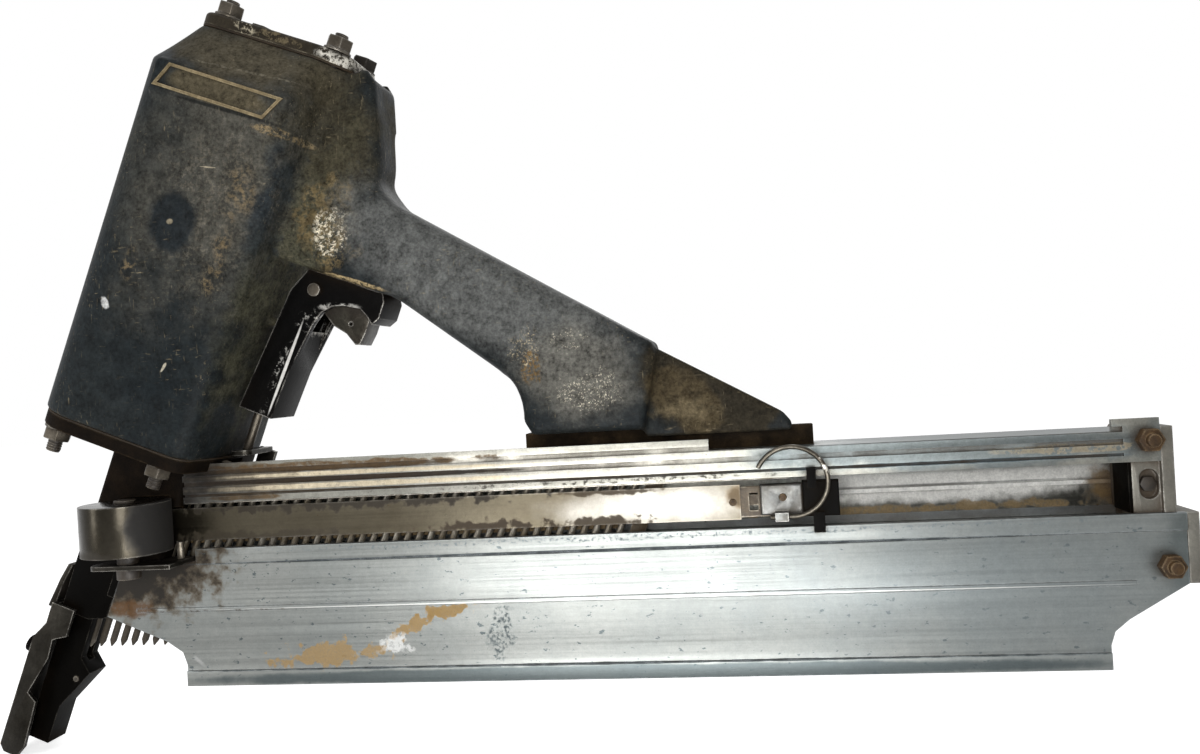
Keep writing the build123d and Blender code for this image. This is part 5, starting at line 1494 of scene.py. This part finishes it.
@dataclass
class Housing:
    """Cast housing with its handle, cap and the working parts inside."""

    bench: Bench
    grain: float = 1.15
    soften: int = 5
    melt: int = 140
    faces: int = 185000
    fin_from: float = 92.0
    foot_below: float = -66.0
    head_above: float = 180.0
    barrel_back: float = 30.0
    flank_back: float = 106.0
    flank_top: float = 107.0
    block_from: float = 58.0
    block_below: float = -44.0
    band_side: float = 36.0
    band_above: float = 150.0
    band_face: float = -42.2
    panel_corners: tuple[Pair, ...] = ((-25.5, 161.6), (31.5, 161.6), (38.0, 173.4), (-20.0, 173.4))
    panel_window: tuple[Pair, ...] = ((-23.2, 163.0), (30.7, 163.0), (35.6, 172.0), (-19.0, 172.0))
    panel_proud: float = 0.6
    stud_p: Pair = (-15.0, 43.0)
    stud_y: float = -16.0
    nut_top: float = 211.9
    thread: Coil = Coil(radius=2.95, height=1.6, pitch=0.9, wire=0.3)

    def build(self) -> None:
        """Build the housing."""
        self.casting()
        self.panel()
        table = (
            ("cylinder_cap", CAP, Edge.CAP),
            ("cap_gasket", FIBRE, Edge.SHEET),
            ("cap_nuts", CAP_NUT, Edge.NUT),
            ("cap_washers", CAP_NUT, Edge.WASHER),
            ("cap_studs", STUD, Edge.STUD),
            ("air_inlet_bushing", BRASS, Edge.STUD),
        )
        self.bench.dress(table)
        places = [drive_point(p, self.stud_y, self.nut_top) for p in self.stud_p]
        self.bench.add_to(self.thread.grow("cap_stud_threads", places, STUD), "cap_studs", STUD)
        self.bench.paint(DULL, "cylinder_sleeve", "head_valve", "piston", "driver_blade")
        self.bench.paint(DULL, "piston_ring", "head_valve_spring")
        self.bench.paint(RUBBER, "bumper", "sleeve_seals")

    def casting(self) -> None:
        """Give the casting the soft edges and flowing joints of a sand mould."""
        piece = self.bench.copy("body_casting")
        remesh = piece.modifiers.new("grain", "REMESH")
        remesh.mode = "VOXEL"
        remesh.voxel_size = self.grain * MM
        soft = piece.modifiers.new("soften", "SMOOTH")
        soft.iterations = self.soften
        self.bench.bake(piece)
        self.share_melt(piece)
        melt = piece.modifiers.new("melt", "SMOOTH")
        melt.iterations = self.melt
        melt.vertex_group = "melt"
        count = sum(len(face.vertices) - 2 for face in piece.data.polygons)
        if count > self.faces:
            thin = piece.modifiers.new("thin", "DECIMATE")
            thin.ratio = self.faces / count
        self.bench.bake(piece)
        piece.vertex_groups.clear()
        piece.data.shade_smooth()
        self.bench.tie(piece, self.bench.body["body_casting"], PAINT, "body_casting")

    def share_melt(self, piece: Piece) -> None:
        """Say how far each place of the casting flows into its neighbours.

        Args:
            piece: The remeshed casting.
        """
        group = piece.vertex_groups.new(name="melt")
        shares: dict[Melt, list[int]] = {}
        for vertex in piece.data.vertices:
            shares.setdefault(self.melt_at(vertex.co / MM), []).append(vertex.index)
        for share, members in shares.items():
            group.add(members, share.value, "REPLACE")

    def melt_at(self, place: Vector) -> Melt:
        """Give the share of smoothing at a point in millimetres.

        Args:
            place: A point of the casting.

        Returns:
            How far the point flows.
        """
        p, q = on_drive(place)
        if place.x > self.fin_from or place.z < self.foot_below or q > self.head_above:
            return Melt.CRISP
        if p < self.barrel_back or (q < self.flank_top and p < self.flank_back):
            return Melt.FIRM
        if place.x > self.block_from or place.z < self.block_below:
            return Melt.PART
        if abs(place.y) > self.band_side and q > self.band_above:
            return Melt.CRISP
        return Melt.FULL

    def panel(self) -> None:
        """Set the raised frame of the bare panel on the near side of the head's band."""
        work = bmesh.new()
        front = self.band_face - self.panel_proud
        back = self.band_face + self.panel_proud
        outer, inner = self.panel_corners, self.panel_window
        rings = ((outer, back), (outer, front), (inner, front), (inner, back))
        loops = [[work.verts.new(drive_point(p, y, q) * MM) for p, q in corners] for corners, y in rings]
        for loop, beside in zip(loops, loops[1:] + loops[:1]):
            for index in range(len(loop)):
                work.faces.new((loop[index - 1], loop[index], beside[index], beside[index - 1]))
        bmesh.ops.recalc_face_normals(work, faces=work.faces)
        piece = self.bench.place("band_panel_frame", work)
        self.bench.smooth(piece)
        self.bench.add_to(piece, "body_casting", PANEL)


@dataclass
class Nose:
    """Nose casting, nosepiece and the contact trip."""

    bench: Bench
    stud_p: float = 27.3
    stud_y: float = 30.0
    stud_end: float = -19.4
    thread: Coil = Coil(radius=2.95, height=5.6, pitch=1.25, wire=0.38)

    def build(self) -> None:
        """Build the nose."""
        flange = (
            ("nose_casting", NECK, Edge.CASTING),
            ("nose_gasket", FIBRE, Edge.SHEET),
            ("nose_nuts", DULL, Edge.NUT),
            ("nose_washers", DULL, Edge.WASHER),
            ("nose_studs", STUD, Edge.STUD),
        )
        self.bench.dress(flange)
        self.threads()
        trip = (
            ("nosepiece", NOSE, Edge.CASTING),
            ("nosepiece_pin", STUD, Edge.STUD),
            ("contact_trip", TRIP, Edge.PLATE),
            ("trip_upper_plate", TRIP, Edge.NUT),
            ("trip_screw", NOSE, Edge.STUD),
            ("trip_yoke", TRIP, Edge.NUT),
            ("link_rod", DULL, Edge.STUD),
        )
        self.bench.dress(trip)

    def threads(self) -> None:
        """Cut the threads of the four studs under the flange."""
        places = [
            drive_point(p, y, self.stud_end)
            for p in (-self.stud_p, self.stud_p)
            for y in (-self.stud_y, self.stud_y)
        ]
        self.bench.add_to(self.thread.grow("nose_stud_threads", places, STUD), "nose_studs", STUD)


@dataclass
class Trigger:
    """Guard, lever, trigger valve and the spring over the trip's rod."""

    bench: Bench
    spring_p: float = 53.0
    spring_low: float = 40.0
    spring_high: float = 70.0
    spring: Coil = Coil(radius=3.0, height=28.6, pitch=3.4, wire=0.6)

    def build(self) -> None:
        """Build the trigger."""
        table = (
            ("trigger_guard", GUARD, Edge.GUARD),
            ("trigger_lever", LEVER, Edge.PLATE),
            ("trigger_pin", DULL, Edge.STUD),
            ("trigger_valve_body", RUBBER, Edge.NUT),
            ("valve_stem", STEEL, Edge.STEM),
        )
        self.bench.dress(table)
        self.bench.paint(DULL, "valve_spring")
        self.bench.paint(RUBBER, "valve_seals")
        self.trip_spring()

    def trip_spring(self) -> None:
        """Wind the spring between the rod and the guard's shelf. It is tied to the tool's body at one length;
        the real spring shortens as the trip lifts.
        """
        low = drive_point(self.spring_p, 0.0, self.spring_low)
        piece = self.spring.grow("trip_spring_wound", [low + DRIVE_ALONG * self.spring.wire], DULL)
        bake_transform(piece)
        self.bench.tie(piece, "tool", DULL, "trip_spring")


@dataclass
class Magazine:
    """Rail, plates and rear end of the strip magazine."""

    bench: Bench
    rail_end: float = -137.0
    bead_end: float = -132.0
    bead_low: float = -130.0
    lap_end: float = -152.0
    end_reach: float = 1.0
    far_side: float = 12.0
    strip_rise: float = 0.9

    def build(self) -> None:
        """Build the magazine."""
        self.lap_neck(self.bench.edged("magazine_upper_rail", RAIL, Edge.RAIL), self.rail_end)
        self.bench.edged("magazine_near_plate", NEAR_PLATE, Edge.RAIL)
        self.lap_neck(self.bench.edged("magazine_far_plate", ALLOY, Edge.RAIL), self.bead_end)
        self.slim_strip(self.bench.edged("wear_strip", STEEL, Edge.SHEET))
        table = (
            ("rear_end_block", END_ALLOY, Edge.PLATE),
            ("rear_bolts", RUST, Edge.BOLT),
            ("rear_nuts", RUST, Edge.NUT),
            ("rear_stop_plate", NOSE, Edge.SHEET),
            ("recess_nut", STUD, Edge.NUT),
            ("handle_bracket", BRACKET, Edge.BRACKET),
            ("bracket_screws", RUST, Edge.STUD),
            ("bracket_pin", STEEL, Edge.STUD),
        )
        self.bench.dress(table)

    def lap_neck(self, wall: Piece, end: float) -> None:
        """Let a far wall lap the neck, so that no light comes through behind the nails.

        Args:
            wall: The dressed piece.
            end: Where its wall ends in the CAD, in millimetres.
        """
        for vertex in wall.data.vertices:
            place = vertex.co / MM
            at_end = abs(place.x - end) < self.end_reach
            if at_end and place.y > self.far_side and place.z > self.bead_low:
                vertex.co.x += (self.lap_end - end) * MM

    def slim_strip(self, strip: Piece) -> None:
        """Thin the wear strip from below, so that the nails show over the band.

        Args:
            strip: The dressed strip.
        """
        heights = [vertex.co.z for vertex in strip.data.vertices]
        middle = (min(heights) + max(heights)) / 2.0
        for vertex in strip.data.vertices:
            if vertex.co.z < middle:
                vertex.co.z += self.strip_rise * MM


@dataclass
class Feed:
    """Spring drum, band, pusher, pull ring and the strip of nails."""

    bench: Bench
    band_start: Triple = (-0.132, -0.0112, -0.110)
    band_end: Triple = (0.124, -0.0112, -0.110)
    nail_first: Pair = (4.4, -117.92)
    nail_pitch: float = 5.85
    nail_count: int = 45
    nail_length: float = 82.6
    nail_radius: float = 1.65
    nail_point: float = 3.0
    nail_tip: float = 0.4
    head_radius: float = 3.5
    head_height: float = 1.6
    nail_sides: int = 12

    def build(self) -> None:
        """Build the feed."""
        table = (
            ("spring_drum", DRUM, Edge.RAIL),
            ("drum_axle", STUD, Edge.STUD),
            ("drum_bracket", TRIP, Edge.STUD),
            ("spring_coil", DULL, Edge.STEM),
            ("pusher_plate", PUSHER_TAN, Edge.SHEET),
            ("pusher_block", PUSHER_STEEL, Edge.BLOCK),
            ("pusher_follower", RUBBER, Edge.BLOCK),
            ("pusher_rivets", RUST, Edge.STUD),
            ("pull_ring", RING_WIRE, Edge.WIRE),
            ("nail_tape", PAPER, Edge.WIRE),
        )
        self.bench.dress(table)
        self.band()
        self.nails()

    def band(self) -> None:
        """Draw the feed band out of its drum, from the tool to the pusher."""
        piece = self.bench.copy("spring_band")
        self.bench.smooth(piece)
        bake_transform(piece)
        self.bench.tie(piece, "tool", BAND_STEEL, "spring_band")

    def nails(self) -> None:
        """Hang the strip of nails in the magazine, all of one shape."""
        sizes = {
            "Length": self.nail_length,
            "Radius": self.nail_radius,
            "Point": self.nail_point,
            "Tip": self.nail_tip,
            "Head Radius": self.head_radius,
            "Head Height": self.head_height,
        }
        tree = Tree("nail_row", {name: size * MM for name, size in sizes.items()} | {"Lean": LEAN})
        get, kit = tree.get, tree.kit
        shank = kit.math("SUBTRACT", get["Length"], kit.math("ADD", get["Point"], get["Head Height"]))
        middle = kit.math("ADD", get["Point"], kit.math("MULTIPLY", shank, 0.5))
        top = kit.math("SUBTRACT", get["Length"], kit.math("MULTIPLY", get["Head Height"], 0.5))
        point = tree.shape(
            "GeometryNodeMeshCone", "Mesh", Vertices=self.nail_sides, Radius_Top=get["Radius"],
            Radius_Bottom=get["Tip"], Depth=get["Point"],
        )
        stem = tree.shape(
            "GeometryNodeMeshCylinder", "Mesh", Vertices=self.nail_sides, Radius=get["Radius"], Depth=shank,
        )
        head = tree.shape(
            "GeometryNodeMeshCylinder", "Mesh", Vertices=self.nail_sides, Radius=get["Head Radius"],
            Depth=get["Head Height"],
        )
        tree.close(tree.joined(point, tree.raised(stem, middle), tree.raised(head, top)))
        first = drive_point(self.nail_first[0], 0.0, self.nail_first[1])
        places = [first + Vector((index * self.nail_pitch, 0.0, 0.0)) for index in range(self.nail_count)]
        self.bench.tie(tree.grow("nail_row", places, NAIL_STEEL), "tool", NAIL_STEEL, "nail_strip")


def main() -> None:
    """Build the tool, the studio and the camera, with the floor at the lowest point of the CAD pieces."""
    logging.basicConfig(level=logging.INFO)
    cad_low, cad_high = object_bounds()
    bench = Bench(frame)
    for part in (Housing(bench), Nose(bench), Trigger(bench), Magazine(bench), Feed(bench)):
        part.build()
        LOG.info("%s done", type(part).__name__)
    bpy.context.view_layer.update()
    Studio().build(cad_low[2])
    PhotoCamera().build()


if __name__ == "__main__":
    main()
